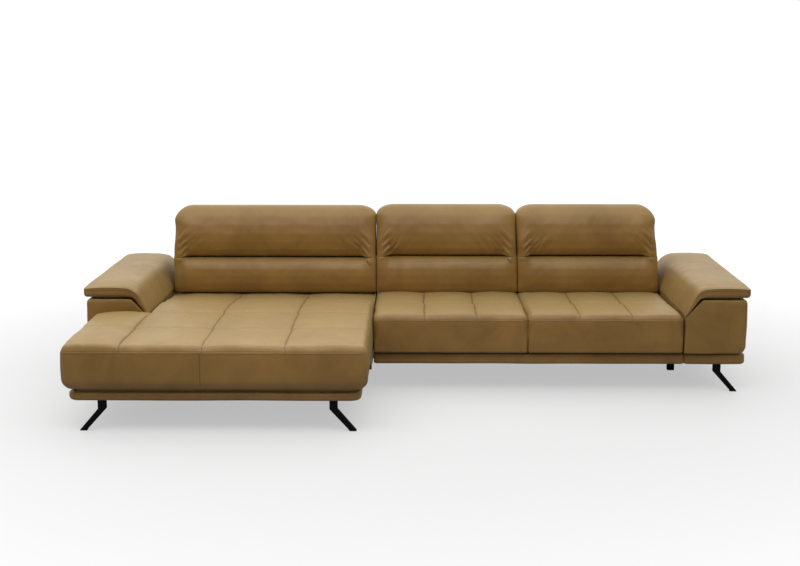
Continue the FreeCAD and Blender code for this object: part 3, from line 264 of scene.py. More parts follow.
def leatherGrainGroup():
    # height: fine noise less 0.8 of the distance to the nearest pebble's middle; mottle: cloudy noise, stretched to
    # 0 to 1; creases: 0 on the borders of wide bent cells and 1 away from them
    tree, start, end = newGroup("leatherGrain", [
        ("Vector", "NodeSocketVector", None),
        ("Pebble scale", "NodeSocketFloat", 420.0),
        ("Cloud scale", "NodeSocketFloat", 5.0),
    ], [("Height", "NodeSocketFloat"), ("Mottle", "NodeSocketFloat"), ("Creases", "NodeSocketFloat")])
    link = tree.links.new
    warp = addNode(tree, "ShaderNodeTexNoise", inputs={"Scale": 60.0, "Detail": 2.0})
    warped = addNode(tree, "ShaderNodeVectorMath", {"operation": "MULTIPLY_ADD"})
    warped.inputs[1].default_value = (0.0016, 0.0016, 0.0016)
    link(start.outputs["Vector"], warp.inputs["Vector"])
    link(warp.outputs["Color"], warped.inputs[0])
    link(start.outputs["Vector"], warped.inputs[2])
    pebble = addNode(tree, "ShaderNodeTexVoronoi", {"feature": "SMOOTH_F1"}, {"Smoothness": 0.35})
    link(warped.outputs[0], pebble.inputs["Vector"])
    link(start.outputs["Pebble scale"], pebble.inputs["Scale"])
    pores = addNode(tree, "ShaderNodeTexNoise", inputs={"Scale": 1500.0, "Detail": 3.0})
    link(start.outputs["Vector"], pores.inputs["Vector"])
    height = addNode(tree, "ShaderNodeMath", {"operation": "MULTIPLY_ADD"}, {1: -0.8})
    link(pebble.outputs["Distance"], height.inputs[0])
    link(pores.outputs["Fac"], height.inputs[2])
    link(height.outputs[0], end.inputs["Height"])
    cloud = addNode(tree, "ShaderNodeTexNoise", inputs={"Detail": 5.0, "Roughness": 0.62, "Distortion": 0.4})
    link(start.outputs["Vector"], cloud.inputs["Vector"])
    link(start.outputs["Cloud scale"], cloud.inputs["Scale"])
    spread = addNode(tree, "ShaderNodeMapRange", inputs={"From Min": 0.3, "From Max": 0.7})
    link(cloud.outputs["Fac"], spread.inputs["Value"])
    link(spread.outputs[0], end.inputs["Mottle"])
    crease = addNode(tree, "ShaderNodeTexVoronoi", {"feature": "DISTANCE_TO_EDGE"}, {"Scale": 34.0})
    bent = addNode(tree, "ShaderNodeVectorMath", {"operation": "MULTIPLY_ADD"})
    bent.inputs[1].default_value = (0.03, 0.03, 0.03)
    slow = addNode(tree, "ShaderNodeTexNoise", inputs={"Scale": 9.0, "Detail": 2.0})
    link(start.outputs["Vector"], slow.inputs["Vector"])
    link(slow.outputs["Color"], bent.inputs[0])
    link(start.outputs["Vector"], bent.inputs[2])
    link(bent.outputs[0], crease.inputs["Vector"])
    thin = addNode(tree, "ShaderNodeMapRange", inputs={"From Min": 0.0, "From Max": 0.09})
    link(crease.outputs["Distance"], thin.inputs["Value"])
    link(thin.outputs[0], end.inputs["Creases"])
    return tree


grainGroup = leatherGrainGroup()


def leather(name, look):
    # hide colour between dark and light by the mottle; paler where a mask marks wear and paints light on upward
    # faces; mixed toward a painted sheen where the surface is seen aslant; dark in seams, and along the back's
    # crease also as painted shade
    material, tree, shader = newMaterial(name)
    link = tree.links.new
    place = addNode(tree, "ShaderNodeTexCoord")
    grain = addNode(tree, "ShaderNodeGroup")
    grain.node_tree = grainGroup
    grain.inputs["Pebble scale"].default_value = look["pebble"]
    grain.inputs["Cloud scale"].default_value = look["cloud"]
    link(place.outputs["Object"], grain.inputs["Vector"])
    seam = addNode(tree, "ShaderNodeAttribute", {"attribute_name": "seam"})
    # this mask marks wear and also paints light on upward faces and tops: where it is high the hide turns to the
    # paler brown
    wearAndTopLight = addNode(tree, "ShaderNodeAttribute", {"attribute_name": "wearAndTopLight"})
    share = addNode(tree, "ShaderNodeMath", {"operation": "MULTIPLY"}, {1: look["wearAndTopLightShare"]})
    link(wearAndTopLight.outputs["Fac"], share.inputs[0])
    # painted sheen: the Layer Weight facing value mixes the colour toward a pale tint, so faces seen aslant look
    # paler as if they caught a sheen
    side = addNode(tree, "ShaderNodeLayerWeight", inputs={"Blend": look["paintedSheenBlend"]})
    paintedSheenWeight = addNode(tree, "ShaderNodeMath", {"operation": "MULTIPLY"}, {1: look["paintedSheenShare"]})
    link(side.outputs["Facing"], paintedSheenWeight.inputs[0])
    hide = mixColours(tree, grain.outputs["Mottle"], look["dark"], look["light"])
    wearAndTopLightColour = mixColours(tree, share.outputs[0], hide, look["wearAndTopLightColour"])
    lined = mixColours(tree, look["lines"], wearAndTopLightColour, grain.outputs["Creases"], "MULTIPLY")
    withPaintedSheen = mixColours(tree, paintedSheenWeight.outputs[0], lined, look["paintedSheenColour"])
    link(mixColours(tree, seam.outputs["Fac"], withPaintedSheen, look["seam"]), shader.inputs["Base Color"])
    gloss = addNode(tree, "ShaderNodeMapRange",
                    inputs={"To Min": look["rough"] + 0.06, "To Max": look["rough"] - 0.05})
    link(grain.outputs["Mottle"], gloss.inputs["Value"])
    link(gloss.outputs[0], shader.inputs["Roughness"])
    relief = addNode(tree, "ShaderNodeBump", inputs={"Strength": look["relief"], "Distance": 0.0006})
    link(grain.outputs["Height"], relief.inputs["Height"])
    folds = addNode(tree, "ShaderNodeBump", inputs={"Strength": look["lines"]*1.2, "Distance": 0.0008})
    link(grain.outputs["Creases"], folds.inputs["Height"])
    link(relief.outputs["Normal"], folds.inputs["Normal"])
    link(folds.outputs["Normal"], shader.inputs["Normal"])
    shader.inputs["Specular IOR Level"].default_value = look["shine"]
    return material


# of these colours, the darkest marks seams and paints the shade in the back's crease, the paler brown marks wear
# and paints light on upward faces, and the palest is a painted sheen on faces seen aslant
hideLook = {
    "dark": (0.215, 0.108, 0.019), "light": (0.310, 0.172, 0.038), "wearAndTopLightColour": (0.40, 0.275, 0.095),
    "seam": (0.035, 0.016, 0.005), "pebble": 420.0, "cloud": 4.0, "wearAndTopLightShare": 0.5, "lines": 0.035,
    "rough": 0.46, "relief": 0.28, "shine": 0.5, "paintedSheenColour": (0.56, 0.47, 0.25), "paintedSheenShare": 0.30,
    "paintedSheenBlend": 0.28,
}
seatLeather = leather("seatLeather", hideLook)
backLeather = leather("backLeather", {**hideLook, "cloud": 4.2})
armLeather = leather("armLeather", {**hideLook, "cloud": 4.6})
plinthLeather = leather("plinthLeather", {**hideLook, "wearAndTopLightShare": 0.3})
panelLeather = leather("panelLeather", {**hideLook, "wearAndTopLightShare": 0.2, "lines": 0.1})


def plainSurface(name, look):
    # one colour broken by noise, with the same noise in its gloss and a fine relief
    material, tree, shader = newMaterial(name)
    link = tree.links.new
    place = addNode(tree, "ShaderNodeTexCoord")
    turned = addNode(tree, "ShaderNodeMapping", inputs={"Scale": look.get("stretch", (1, 1, 1))})
    link(place.outputs["Object"], turned.inputs["Vector"])
    noise = addNode(tree, "ShaderNodeTexNoise",
                    inputs={"Scale": look["scale"], "Detail": 6.0, "Roughness": 0.6})
    link(turned.outputs[0], noise.inputs["Vector"])
    link(mixColours(tree, noise.outputs["Fac"], look["dark"], look["light"]), shader.inputs["Base Color"])
    gloss = addNode(tree, "ShaderNodeMapRange",
                    inputs={"To Min": look["rough"] - 0.07, "To Max": look["rough"] + 0.07})
    link(noise.outputs["Fac"], gloss.inputs["Value"])
    link(gloss.outputs[0], shader.inputs["Roughness"])
    relief = addNode(tree, "ShaderNodeBump", inputs={"Strength": look["relief"], "Distance": 0.0005})
    link(noise.outputs["Fac"], relief.inputs["Height"])
    link(relief.outputs["Normal"], shader.inputs["Normal"])
    shader.inputs["Metallic"].default_value = look.get("metal", 0)
    shader.inputs["Specular IOR Level"].default_value = look.get("shine", 0.5)
    return material


# plain finishes: dark and light colour, scale of the noise, roughness, relief
finishes = {
    "leg_metal": {"dark": (0.002, 0.002, 0.002), "light": (0.005, 0.005, 0.005), "scale": 380.0,
                  "rough": 0.5, "relief": 0.25, "shine": 0.12},
    "felt": {"dark": (0.012, 0.012, 0.012), "light": (0.05, 0.05, 0.05), "scale": 900.0,
             "rough": 0.9, "relief": 0.8},
    "timber": {"dark": (0.32, 0.19, 0.085), "light": (0.55, 0.38, 0.2), "scale": 16.0,
               "rough": 0.65, "relief": 0.3, "stretch": (1, 6, 6)},
    "steel": {"dark": (0.38, 0.39, 0.4), "light": (0.58, 0.58, 0.57), "scale": 60.0,
              "rough": 0.38, "relief": 0.1, "metal": 1.0},
    "webbing": {"dark": (0.05, 0.045, 0.04), "light": (0.16, 0.15, 0.13), "scale": 500.0,
                "rough": 0.85, "relief": 0.7},
    "cover_cloth": {"dark": (0.008, 0.008, 0.008), "light": (0.03, 0.03, 0.03), "scale": 700.0,
                    "rough": 0.9, "relief": 0.5},
}
finished = {slot: plainSurface(slot, look) for slot, look in finishes.items()}
finished.update({"plinth_leather": plinthLeather, "panel_cloth": panelLeather, "seat_leather": seatLeather,
                 "back_leather": backLeather, "arm_leather": armLeather})
thread = plainSurface("thread", {"dark": (0.10, 0.055, 0.018), "light": (0.22, 0.13, 0.05), "scale": 900.0,
                                 "rough": 0.6, "relief": 0.4})

slotOf = {part["node"]: part["material_slot"] for part in frame["record"]["subparts"]}
for name, node in frame["nodes"].items():
    for number in range(max(1, len(node.data.materials))):
        if number < len(node.data.materials):
            node.data.materials[number] = finished[slotOf[name]]
        else:
            node.data.materials.append(finished[slotOf[name]])
print("materials made")

threadLook = {"pitch": 0.0072, "length": 0.0055, "thick": 0.0012}


# Seat cushions: low crowned panels between sewn channels, and two stitched lines under the front edge

seatLook = {
    "top": 0.404, "bottom": 0.208, "step": 0.0092, "topRadius": 0.029, "sideRadius": 0.032, "footRadius": 0.012,
    "footSide": 0.007, "crown": 0.0075, "cellCrown": 0.0022, "leftCrown": 1.0, "fullness": 0.7, "bow": 0.0,
    "frontRise": 0.005, "rearDrop": 0.013, "rearStart": 0.02, "channel": 0.0034, "channelWidth": 0.0030,
    "valley": 0.0022, "valleyWidth": 0.014, "crossDepth": 0.0022, "crossWidth": 0.0024, "crossSoft": 0.020,
    "tuft": 0.0036, "tuftWidth": 0.013, "hook": 0.0036, "hookWidth": 0.035, "pucker": 0.0007,
    "puckerLength": 0.021, "puckerWidth": 0.026, "crossPucker": 0.018, "relax": 0.0015, "belly": 0.004,
    "swell": 0.0012, "stitchHeights": (0.3875, 0.3775), "stitchWidth": 0.0016, "stitchDepth": 0.0007,
    "frontSeamWidth": 0.0022, "frontSeamDepth": 0.0018, "seamInk": 0.66, "crossInk": 0.45, "stitchInk": 0.28,
    "frontInk": 0.55,
}
chaiseLook = {
    "left": -1.642, "innerLeft": -1.366, "right": -0.2285, "seams": [-1.370, -0.988, -0.606],
    "crosses": [0.370, 0.740, 1.110], "frontSeam": -0.998, "wrapStart": -0.236, "wrapEnd": -0.182,
    "bottom": 0.204, "footRadius": 0.046, "footSide": 0.046, "bow": 0.014, "leftCrown": 2.3, "rearDrop": 0.028,
}


def seatForm(left, right, front, seams, crosses, seed, look, frontSeams=(), leftEnd=None):
    # top: rise at the front - drop at the rear + (4t(1-t))^fullness over each panel and cell - bells along the
    # seams, the cross seams and the tufts where they meet; beside a seam it is pulled sideways over the groove.
    # walls: out by a sine of the height, and in by bells at the stitched lines and front seams
    rear = plan["backY"]
    seams = np.array(seams)
    crossLines = front + np.array(crosses)

    def form(points, way):
        x, y, z = points.T.copy()
        edge = np.full(len(x), left) if leftEnd is None else leftEnd(y)
        if leftEnd is not None:
            reach = seams[0] + 0.06
            share = np.clip((x - left)/(reach - left), None, 1)
            x = np.where(share < 1, mix(edge, reach, share), x)
        hidden = smooth(edge, seams[0] - 0.12, seams[0] - 0.01) if leftEnd is not None else np.zeros(len(x))
        place = np.stack([x, y, z], -1)
        top = smooth(way[:, 2], 0.25, 0.95)
        face = smooth(-way[:, 1], 0.6, 0.98)
        sides = smooth(np.abs(way[:, 0]), 0.6, 0.98)
        fromFront = y - front
        lines = np.r_[left, seams, right]
        cell = np.clip(np.searchsorted(lines, x) - 1, 0, len(lines) - 2)
        start, stop = lines[cell], lines[cell + 1]
        if leftEnd is not None:
            inside = hidden > 0.5
            start = np.where((cell <= 1) & inside, edge, start)
            stop = np.where((cell == 0) & inside, lines[2], stop)
        share = np.clip((x - start)/(stop - start), 0, 1)
        crown = (4*share*(1 - share))**look["fullness"]*np.where(cell == 0, look["leftCrown"], 1)
        rows = np.r_[front, crossLines, rear]
        row = np.clip(np.searchsorted(rows, y) - 1, 0, len(rows) - 2)
        part = np.clip((y - rows[row])/(rows[row + 1] - rows[row]), 0, 1)
        fade = 0.45 + 0.55*smooth(fromFront, 0.0, 0.10)
        tail = 1 - smooth(y, rear - 0.05, rear + 0.03)
        gaps = np.abs(x[:, None] - seams[None]) + 0.3*(hidden[:, None]*(np.arange(len(seams)) == 0)[None])
        which = gaps.argmin(1)
        seamGap = gaps.min(1)
        crossGap = np.abs(y[:, None] - crossLines[None]).min(1)
        started = smooth(way[:, 2], 0.05, 0.4)
        length = np.clip(fromFront/(rear - front), 0, 1)
        lift = look["frontRise"]*(1 - smooth(fromFront, 0.04, 0.30))
        lift -= look["rearDrop"]*smooth(y, look["rearStart"], rear)
        lift += look["crown"]*crown*fade + look["cellCrown"]*(4*part*(1 - part))**look["fullness"]*fade
        lift += look["bow"]*np.sin(math.pi*length**0.8)
        groove = look["channel"]*bump(seamGap, look["channelWidth"])*started
        groove += look["valley"]*bump(seamGap, look["valleyWidth"])*fade
        groove += look["crossDepth"]*(bump(crossGap, look["crossWidth"]) + bump(crossGap, look["crossSoft"]))
        groove += look["tuft"]*bump(np.hypot(seamGap, crossGap), look["tuftWidth"])
        wander = 3*ripple(place*np.array([1, 1, 0]), 0.06, seed)
        turn = 2*math.pi/look["puckerLength"]
        lift += look["pucker"]*bump(seamGap, look["puckerWidth"])*np.sin(y*turn + wander + which)*fade
        lift += look["pucker"]*bump(crossGap, look["crossPucker"])*np.sin(x*turn + wander)*0.7
        lift += look["relax"]*(ripple(place, 0.17, seed + 2) + 0.35*ripple(place, 0.055, seed + 3))
        z = z + top*(lift - groove*tail)
        swing = part*2 - 1
        hooked = top*bump(seamGap, look["hookWidth"])*swing*(1 - swing**8)
        x = x + look["hook"]*hooked*smooth(fromFront, 0.03, 0.12)
        stitched = sum(bump(z - height, look["stitchWidth"]) for height in look["stitchHeights"])
        between = bump(z - sum(look["stitchHeights"])/2, 0.0042)
        wall = np.maximum(face, sides)
        height = np.clip((z - look["bottom"])/(look["top"] - look["bottom"]), 0, 1)
        proud = look["belly"]*np.sin(height**0.8*math.pi) - look["stitchDepth"]*stitched + 0.0004*between
        proud += look["swell"]*ripple(place, 0.13, seed + 4)
        upright = np.zeros(len(x))
        for seam in frontSeams:
            upright += bump(x - seam, look["frontSeamWidth"])*face*(z < look["stitchHeights"][1])
        proud = proud - look["frontSeamDepth"]*upright
        x = x + way[:, 0]*proud*wall
        y = y + way[:, 1]*proud*wall
        sewn = look["seamInk"]*bump(seamGap, 0.0019)*started
        sewn = np.maximum(sewn, look["crossInk"]*bump(crossGap, 0.0018)*top)*tail
        sewn = np.maximum(sewn, look["stitchInk"]*np.clip(stitched, 0, 1)*wall)
        sewn = np.maximum(sewn, look["frontInk"]*upright)
        # paler on the tops, most on the crowns, and on other upward faces: wear, and painted light where the light
        # falls on them
        wearAndTopLight = top*(0.35 + 0.3*np.minimum(crown, 1))*smooth(fromFront, 0.0, 0.05)
        wearAndTopLight += 0.25*smooth(way[:, 2], 0.2, 0.6)*(1 - top)
        return np.stack([x, y, z], -1), {"seam": sewn, "wearAndTopLight": wearAndTopLight}

    return form


def seatCushion(key, left, right, front, seams, crosses, seed, own=None, frontSeams=(), leftEnd=None):
    look = {**seatLook, **(own or {})}
    crossLines = [front + cross for cross in crosses]
    lines = [
        linesBetween(left, right, look["step"], look["sideRadius"], [*seams, *frontSeams]),
        linesBetween(front, plan["webY"] - 0.001, look["step"], look["topRadius"], crossLines),
        linesBetween(look["bottom"], look["top"], 0.011, 0.026, look["stitchHeights"]),
    ]

    def radii(points):
        low = 1 - smooth(points[:, 2], 0.26, 0.34)
        return (mix(look["sideRadius"], look["footSide"], low), look["topRadius"],
                mix(look["topRadius"], look["footRadius"], low))

    form = seatForm(left, right, front, seams, crosses, seed, look, frontSeams, leftEnd)
    piece = blockPiece(key + "SeatCover", lines, radii, form, seatLeather)
    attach(piece, "root")
    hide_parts(key + "_seat_cushion")
    for number, height in enumerate(look["stitchHeights"]):
        xs = np.linspace(left + 0.012, right - 0.012, 300)
        places = np.stack([xs, np.full(300, front), np.full(300, height)], -1)
        path, ways = surfaceLine(lines, radii, form, places)
        stitchRow(f"{key}SeatStitches{number}", path, ways, "root", threadLook)


def thirds(left, right):
    return [left + (right - left)/3, left + (right - left)*2/3]


def besideArm(y):
    # behind the arm's front the cushion's left edge steps in to the arm's inner face by a smooth slope
    look = chaiseLook
    return mix(look["left"], look["innerLeft"], smooth(y, look["wrapStart"], look["wrapEnd"]))


seatCushion("center", plan["jointX"] + plan["gap"], plan["splitX"] - plan["halfSplit"], plan["seatFrontY"],
            thirds(plan["jointX"], plan["splitX"]), plan["seatCrosses"], 11)
seatCushion("right", plan["splitX"] + plan["halfSplit"], plan["halfInner"] - 0.002, plan["seatFrontY"],
            thirds(plan["splitX"], plan["halfInner"]), plan["seatCrosses"], 23)
seatCushion("chaise", chaiseLook["left"], chaiseLook["right"], plan["frontY"], chaiseLook["seams"],
            chaiseLook["crosses"], 37, chaiseLook, [chaiseLook["frontSeam"]], besideArm)
print("seats made")


# Backs: one cover over the lumbar cushion and the headrest, with a narrow deep crease at the hinge line

backLook = {
    "foot": 0.389, "depth": 0.16, "step": 0.0075, "depthStep": 0.012, "topRound": 0.055, "edgeRound": 0.055,
    "cornerRadius": 0.104, "sideRadius": 0.016, "footSide": 0.006, "footRadius": 0.010, "topRadius": 0.062,
    "creaseDepth": 0.040, "creaseWidth": 0.0034, "shallow": 0.08, "endInset": 0.060, "foldWidth": 0.0048,
    "wander": 0.006, "relax": 0.0018, "pinchStart": (0.60, 0.75), "pinchEnd": (0.765, 0.812),
    "front": [(0.389, 0.533), (0.415, 0.520), (0.450, 0.510), (0.495, 0.507), (0.535, 0.511), (0.562, 0.521),
              (0.582, 0.537), (0.594, 0.552), (0.600, 0.558), (0.606, 0.554), (0.620, 0.541), (0.645, 0.526),
              (0.690, 0.516), (0.735, 0.514), (0.785, 0.522), (0.835, 0.540), (0.884, 0.565)],
    "taut": [(0.389, 0.533), (0.430, 0.515), (0.500, 0.508), (0.600, 0.512), (0.735, 0.516), (0.785, 0.523),
             (0.835, 0.540), (0.884, 0.565)],
    "rear": [(0.389, 0.5915), (0.590, 0.5915), (0.600, 0.610), (0.608, 0.6935), (0.700, 0.6945),
             (0.800, 0.690), (0.850, 0.684), (0.884, 0.676)],
    "creaseLines": (0, 0.001, 0.002, 0.003, 0.0042, 0.0056, 0.0075, 0.010, 0.014, 0.019),
}
# left and right ends, how far each leans left at the top, how far it is drawn in under its corner, how high its
# corner is, heights of the top and the crease, seed
covers = {
    "chaise": ((-1.366, -0.2242), (0.000, 0.002), (0.008, 0.001), (0.104, 0.060), 0.878, 0.592, 51),
    "center": ((-0.2238, 0.5728), (0.002, 0.017), (0.001, 0.001), (0.060, 0.060), 0.884, 0.600, 52),
    "right": ((0.5732, 1.3640), (0.017, 0.022), (0.001, 0.008), (0.066, 0.104), 0.884, 0.600, 53),
}
# folds by the ends of the crease: start inward and upward of the end, angle, length, depth
foldLines = [
    (0.000, 0.010, 54, 0.170, 0.0082), (-0.024, 0.024, 51, 0.160, 0.0066), (-0.038, 0.056, 49, 0.140, 0.0056),
    (-0.044, 0.094, 54, 0.120, 0.0040), (0.042, 0.022, 60, 0.150, 0.0036), (0.105, 0.028, 64, 0.120, 0.0022),
    (-0.008, -0.012, -128, 0.065, 0.0048), (-0.028, -0.006, -150, 0.035, 0.0030),
]


def softened(corners, z):
    # the polyline through these heights, its corners rubbed round over about 9 mm
    heights, depths = np.array(corners).T
    level = np.linspace(heights[0], heights[-1], 500)
    weights = np.exp(-np.linspace(-2, 2, 19)**2)
    line = np.convolve(np.pad(np.interp(level, heights, depths), 9, "edge"), weights/weights.sum(), "valid")
    return np.interp(z, level, line)


def foldAt(across, gap, line):
    # one fold: a narrow valley with a wider ridge beside it, fading in from its start and out at its end
    startAcross, startGap, angle, length, depth = line
    turn = math.radians(angle)
    along = (across - startAcross)*math.cos(turn) + (gap - startGap)*math.sin(turn)
    aside = (across - startAcross)*math.sin(turn) - (gap - startGap)*math.cos(turn)
    aside = aside - 0.08*along*(along/length)
    width = backLook["foldWidth"]*(0.8 + 0.9*np.clip(along/length, 0, 1))
    strength = smooth(along, -0.012, 0.012)*(1 - smooth(along, length*0.35, length))
    return depth*strength*(bump(aside, width) - 0.75*bump(aside - 2.3*width, 1.7*width))


def backForm(ends, leans, pinches, top, crease, seed):
    # depth = the front line of this height, taut at the ends of the crease, + a notch of exp(-|gap/width|^1.3)
    # + the folds from its ends + soft noise, mixed toward the rear line; the sides are pinched in and lean
    look = backLook
    left, right = ends

    def form(points, way):
        x, share, z = points.T.copy()
        share = share/look["depth"]
        fromSide = np.minimum(x - left, right - x)
        half = x < (left + right)/2
        gap = z - crease
        deep = smooth(fromSide, look["endInset"] - 0.020, look["endInset"] + 0.030)
        foot = look["foot"]
        above = plan["crease"] + gap*(plan["top"] - plan["crease"])/(top - crease)
        below = foot + (z - foot)*(plan["crease"] - foot)/(crease - foot)
        scaled = np.where(gap > 0, above, below)
        near = mix(softened(look["taut"], scaled), softened(look["front"], scaled), deep)
        far = np.interp(scaled, *np.array(look["rear"]).T)
        notch = look["creaseDepth"]*mix(look["shallow"], 1, deep)*np.exp(-np.abs(gap/look["creaseWidth"])**1.3)
        place = np.stack([x, near, z], -1)
        wander = look["wander"]*ripple(place, 0.12, seed + 1)
        folds = 0
        for number, line in enumerate(foldLines):
            for corner, sign in ((left + look["endInset"], 1), (right - look["endInset"], -1)):
                change = math.sin(seed*(number + 2)*1.7 + sign)
                own = (line[0] + 0.006*change, line[1], line[2] + 4*change, line[3], line[4]*(1 + 0.3*change))
                folds = folds + foldAt((x - corner)*sign + wander, gap, own)
        relax = look["relax"]*(ripple(place, 0.18, seed + 5) + 0.4*ripple(place, 0.06, seed + 6))
        forward = smooth(-way[:, 1], 0.0, 0.75)
        near = near + notch + (folds + relax)*smooth(fromSide, 0.004, 0.030)
        near = np.minimum(near, far - 0.012)
        y = mix(near, far, share)
        aside = smooth(np.abs(way[:, 0]), 0.2, 0.9)
        pinch = np.where(half, *pinches)*(1 - smooth(z, *look["pinchEnd"]))*smooth(z, *look["pinchStart"])
        x = x + np.where(half, 1, -1)*pinch*aside
        x = x - mix(*leans, (x - left)/(right - left))*(z - foot)/(top - foot)
        # along the crease the seam mark is also painted shade: it grows wider and darker where the crease is deep
        sewn = bump(gap, 0.0018 + 0.0012*deep)*forward*mix(0.45, 1, deep)
        # paler at the headrest's top and in a band along the lumbar's upper front: wear, and painted light on these
        # faces turned up to the light
        wearAndTopLight = 0.6*smooth(z, top - 0.10, top - 0.03) + 0.25*bump(z - 0.565, 0.03)*forward
        return np.stack([x, y, z], -1), {"seam": sewn, "wearAndTopLight": wearAndTopLight}

    return form


def backCover(key, ends, leans, pinches, corners, top, crease, seed):
    look = backLook
    left, right = ends
    creaseEnds = [left + look["endInset"], right - look["endInset"]]
    lines = [
        linesBetween(left, right, look["step"], look["cornerRadius"], creaseEnds),
        linesBetween(0, look["depth"], look["depthStep"], look["edgeRound"]),
        linesBetween(look["foot"], top, look["step"], look["topRound"], [crease], look["creaseLines"]),
    ]

    def radii(points):
        fromSide = np.minimum(points[:, 0] - left, right - points[:, 0])
        high = smooth(points[:, 2], top - 0.22, top - 0.09)
        low = 1 - smooth(points[:, 2], look["foot"] + 0.02, look["foot"] + 0.06)
        corner = 1 - smooth(fromSide, 0.10, 0.22)
        cornerHeight = np.where(points[:, 0] < (left + right)/2, *corners)
        upward = np.where(points[:, 2] > crease, mix(look["topRadius"], cornerHeight, corner),
                          look["footRadius"])
        sideways = mix(mix(look["sideRadius"], look["cornerRadius"], high), look["footSide"], low)
        return sideways, look["edgeRound"], upward

    form = backForm(ends, leans, pinches, top, crease, seed)
    piece = blockPiece(key + "BackCover", lines, radii, form, backLeather)
    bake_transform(piece)
    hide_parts(key + "_lumbar_cushion", key + "_headrest_cushion")


for key, numbers in covers.items():
    backCover(key, *numbers)
print("backs made")


# Arms: a padded body and a thick cap whose inner side hangs down to a pointed tip

bodyLook = {
    "front": -0.168, "rear": 0.886, "outer": 1.693, "top": 0.488, "bottom": 0.208, "width": 0.318,
    "step": 0.012, "longStep": 0.02, "edge": 0.024, "foot": 0.040, "innerEdge": 0.005, "corner": 0.014,
    "relax": 0.0018, "ripples": 0.0006, "belly": 0.003,
    "inner": [(0.208, 1.3735), (0.404, 1.380), (0.488, 1.464)],
}
capLook = {
    "front": -0.172, "rear": 0.890, "length": 0.405, "step": 0.0092, "round": 0.026, "corner": 0.022,
    "levelStep": 0.10, "levelRound": 0.26, "samples": 200, "drop": 0.007, "relax": 0.0018,
    "bend": 1.452, "flank": 1.415, "fill": 0.004, "foldPitch": 0.034, "stitchDepth": 0.0012,
    "upper": [(1.3725, 0.408), (1.3830, 0.440), (1.4100, 0.492), (1.4400, 0.545), (1.4780, 0.5600),
              (1.5500, 0.5640), (1.6300, 0.5640), (1.7050, 0.5560)],
    "lower": [(1.3790, 0.4045), (1.3980, 0.424), (1.4270, 0.462), (1.4500, 0.494), (1.4800, 0.4985),
              (1.5600, 0.499), (1.6400, 0.499), (1.7050, 0.499)],
    "stitchLevels": (0.74, 0.56), "stitchInset": 0.022,
}
# side, rise of the rear, depth of the dimple at the front bend and of the folds behind it
capSides = {"left": (-1, 0.004, 0.0070, 0.0012), "right": (1, 0.013, 0.0010, 0.0003)}


def armBody(word, side, seed):
    # a rounded box whose inner wall follows the slanted line of the frame; the outer and front walls are moved by
    # soft noise of two sizes and drawn in, toward the top and the foot, by 1 less a sine of the height
    look = bodyLook
    lines = [
        linesBetween(0, look["width"], look["step"], look["foot"]),
        linesBetween(look["front"], look["rear"], look["longStep"], look["corner"]),
        linesBetween(look["bottom"], look["top"], look["step"], look["foot"]),
    ]

    def radii(points):
        outer = np.where(points[:, 2] > 0.35, look["edge"], look["foot"])
        edge = np.where(points[:, 0] > look["width"]/2, outer, look["innerEdge"])
        return edge, look["corner"], edge

    def form(points, way):
        across, y, z = points.T.copy()
        wall = np.interp(z, *np.array(look["inner"]).T)
        x = mix(wall, look["outer"], across/look["width"])
        place = np.stack([x, y, z], -1)
        height = np.clip((z - look["bottom"])/(look["top"] - look["bottom"]), 0, 1)
        puff = look["relax"]*ripple(place, 0.2, seed) + look["ripples"]*ripple(place, 0.07, seed + 1)
        puff = puff + look["belly"]*np.sin(height*math.pi) - look["belly"]
        x = x + puff*smooth(way[:, 0], 0.5, 1.0)
        y = y - puff*smooth(-way[:, 1], 0.5, 1.0)
        # paler along the top of the body: wear, and painted light on its top
        return np.stack([x, y, z], -1), {"seam": 0, "wearAndTopLight": 0.3*smooth(z, 0.46, 0.488)}

    piece = blockPiece(word + "ArmBody", lines, radii, form, armLeather, side < 0)
    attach(piece, "root")
    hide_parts(word + "_arm_body")


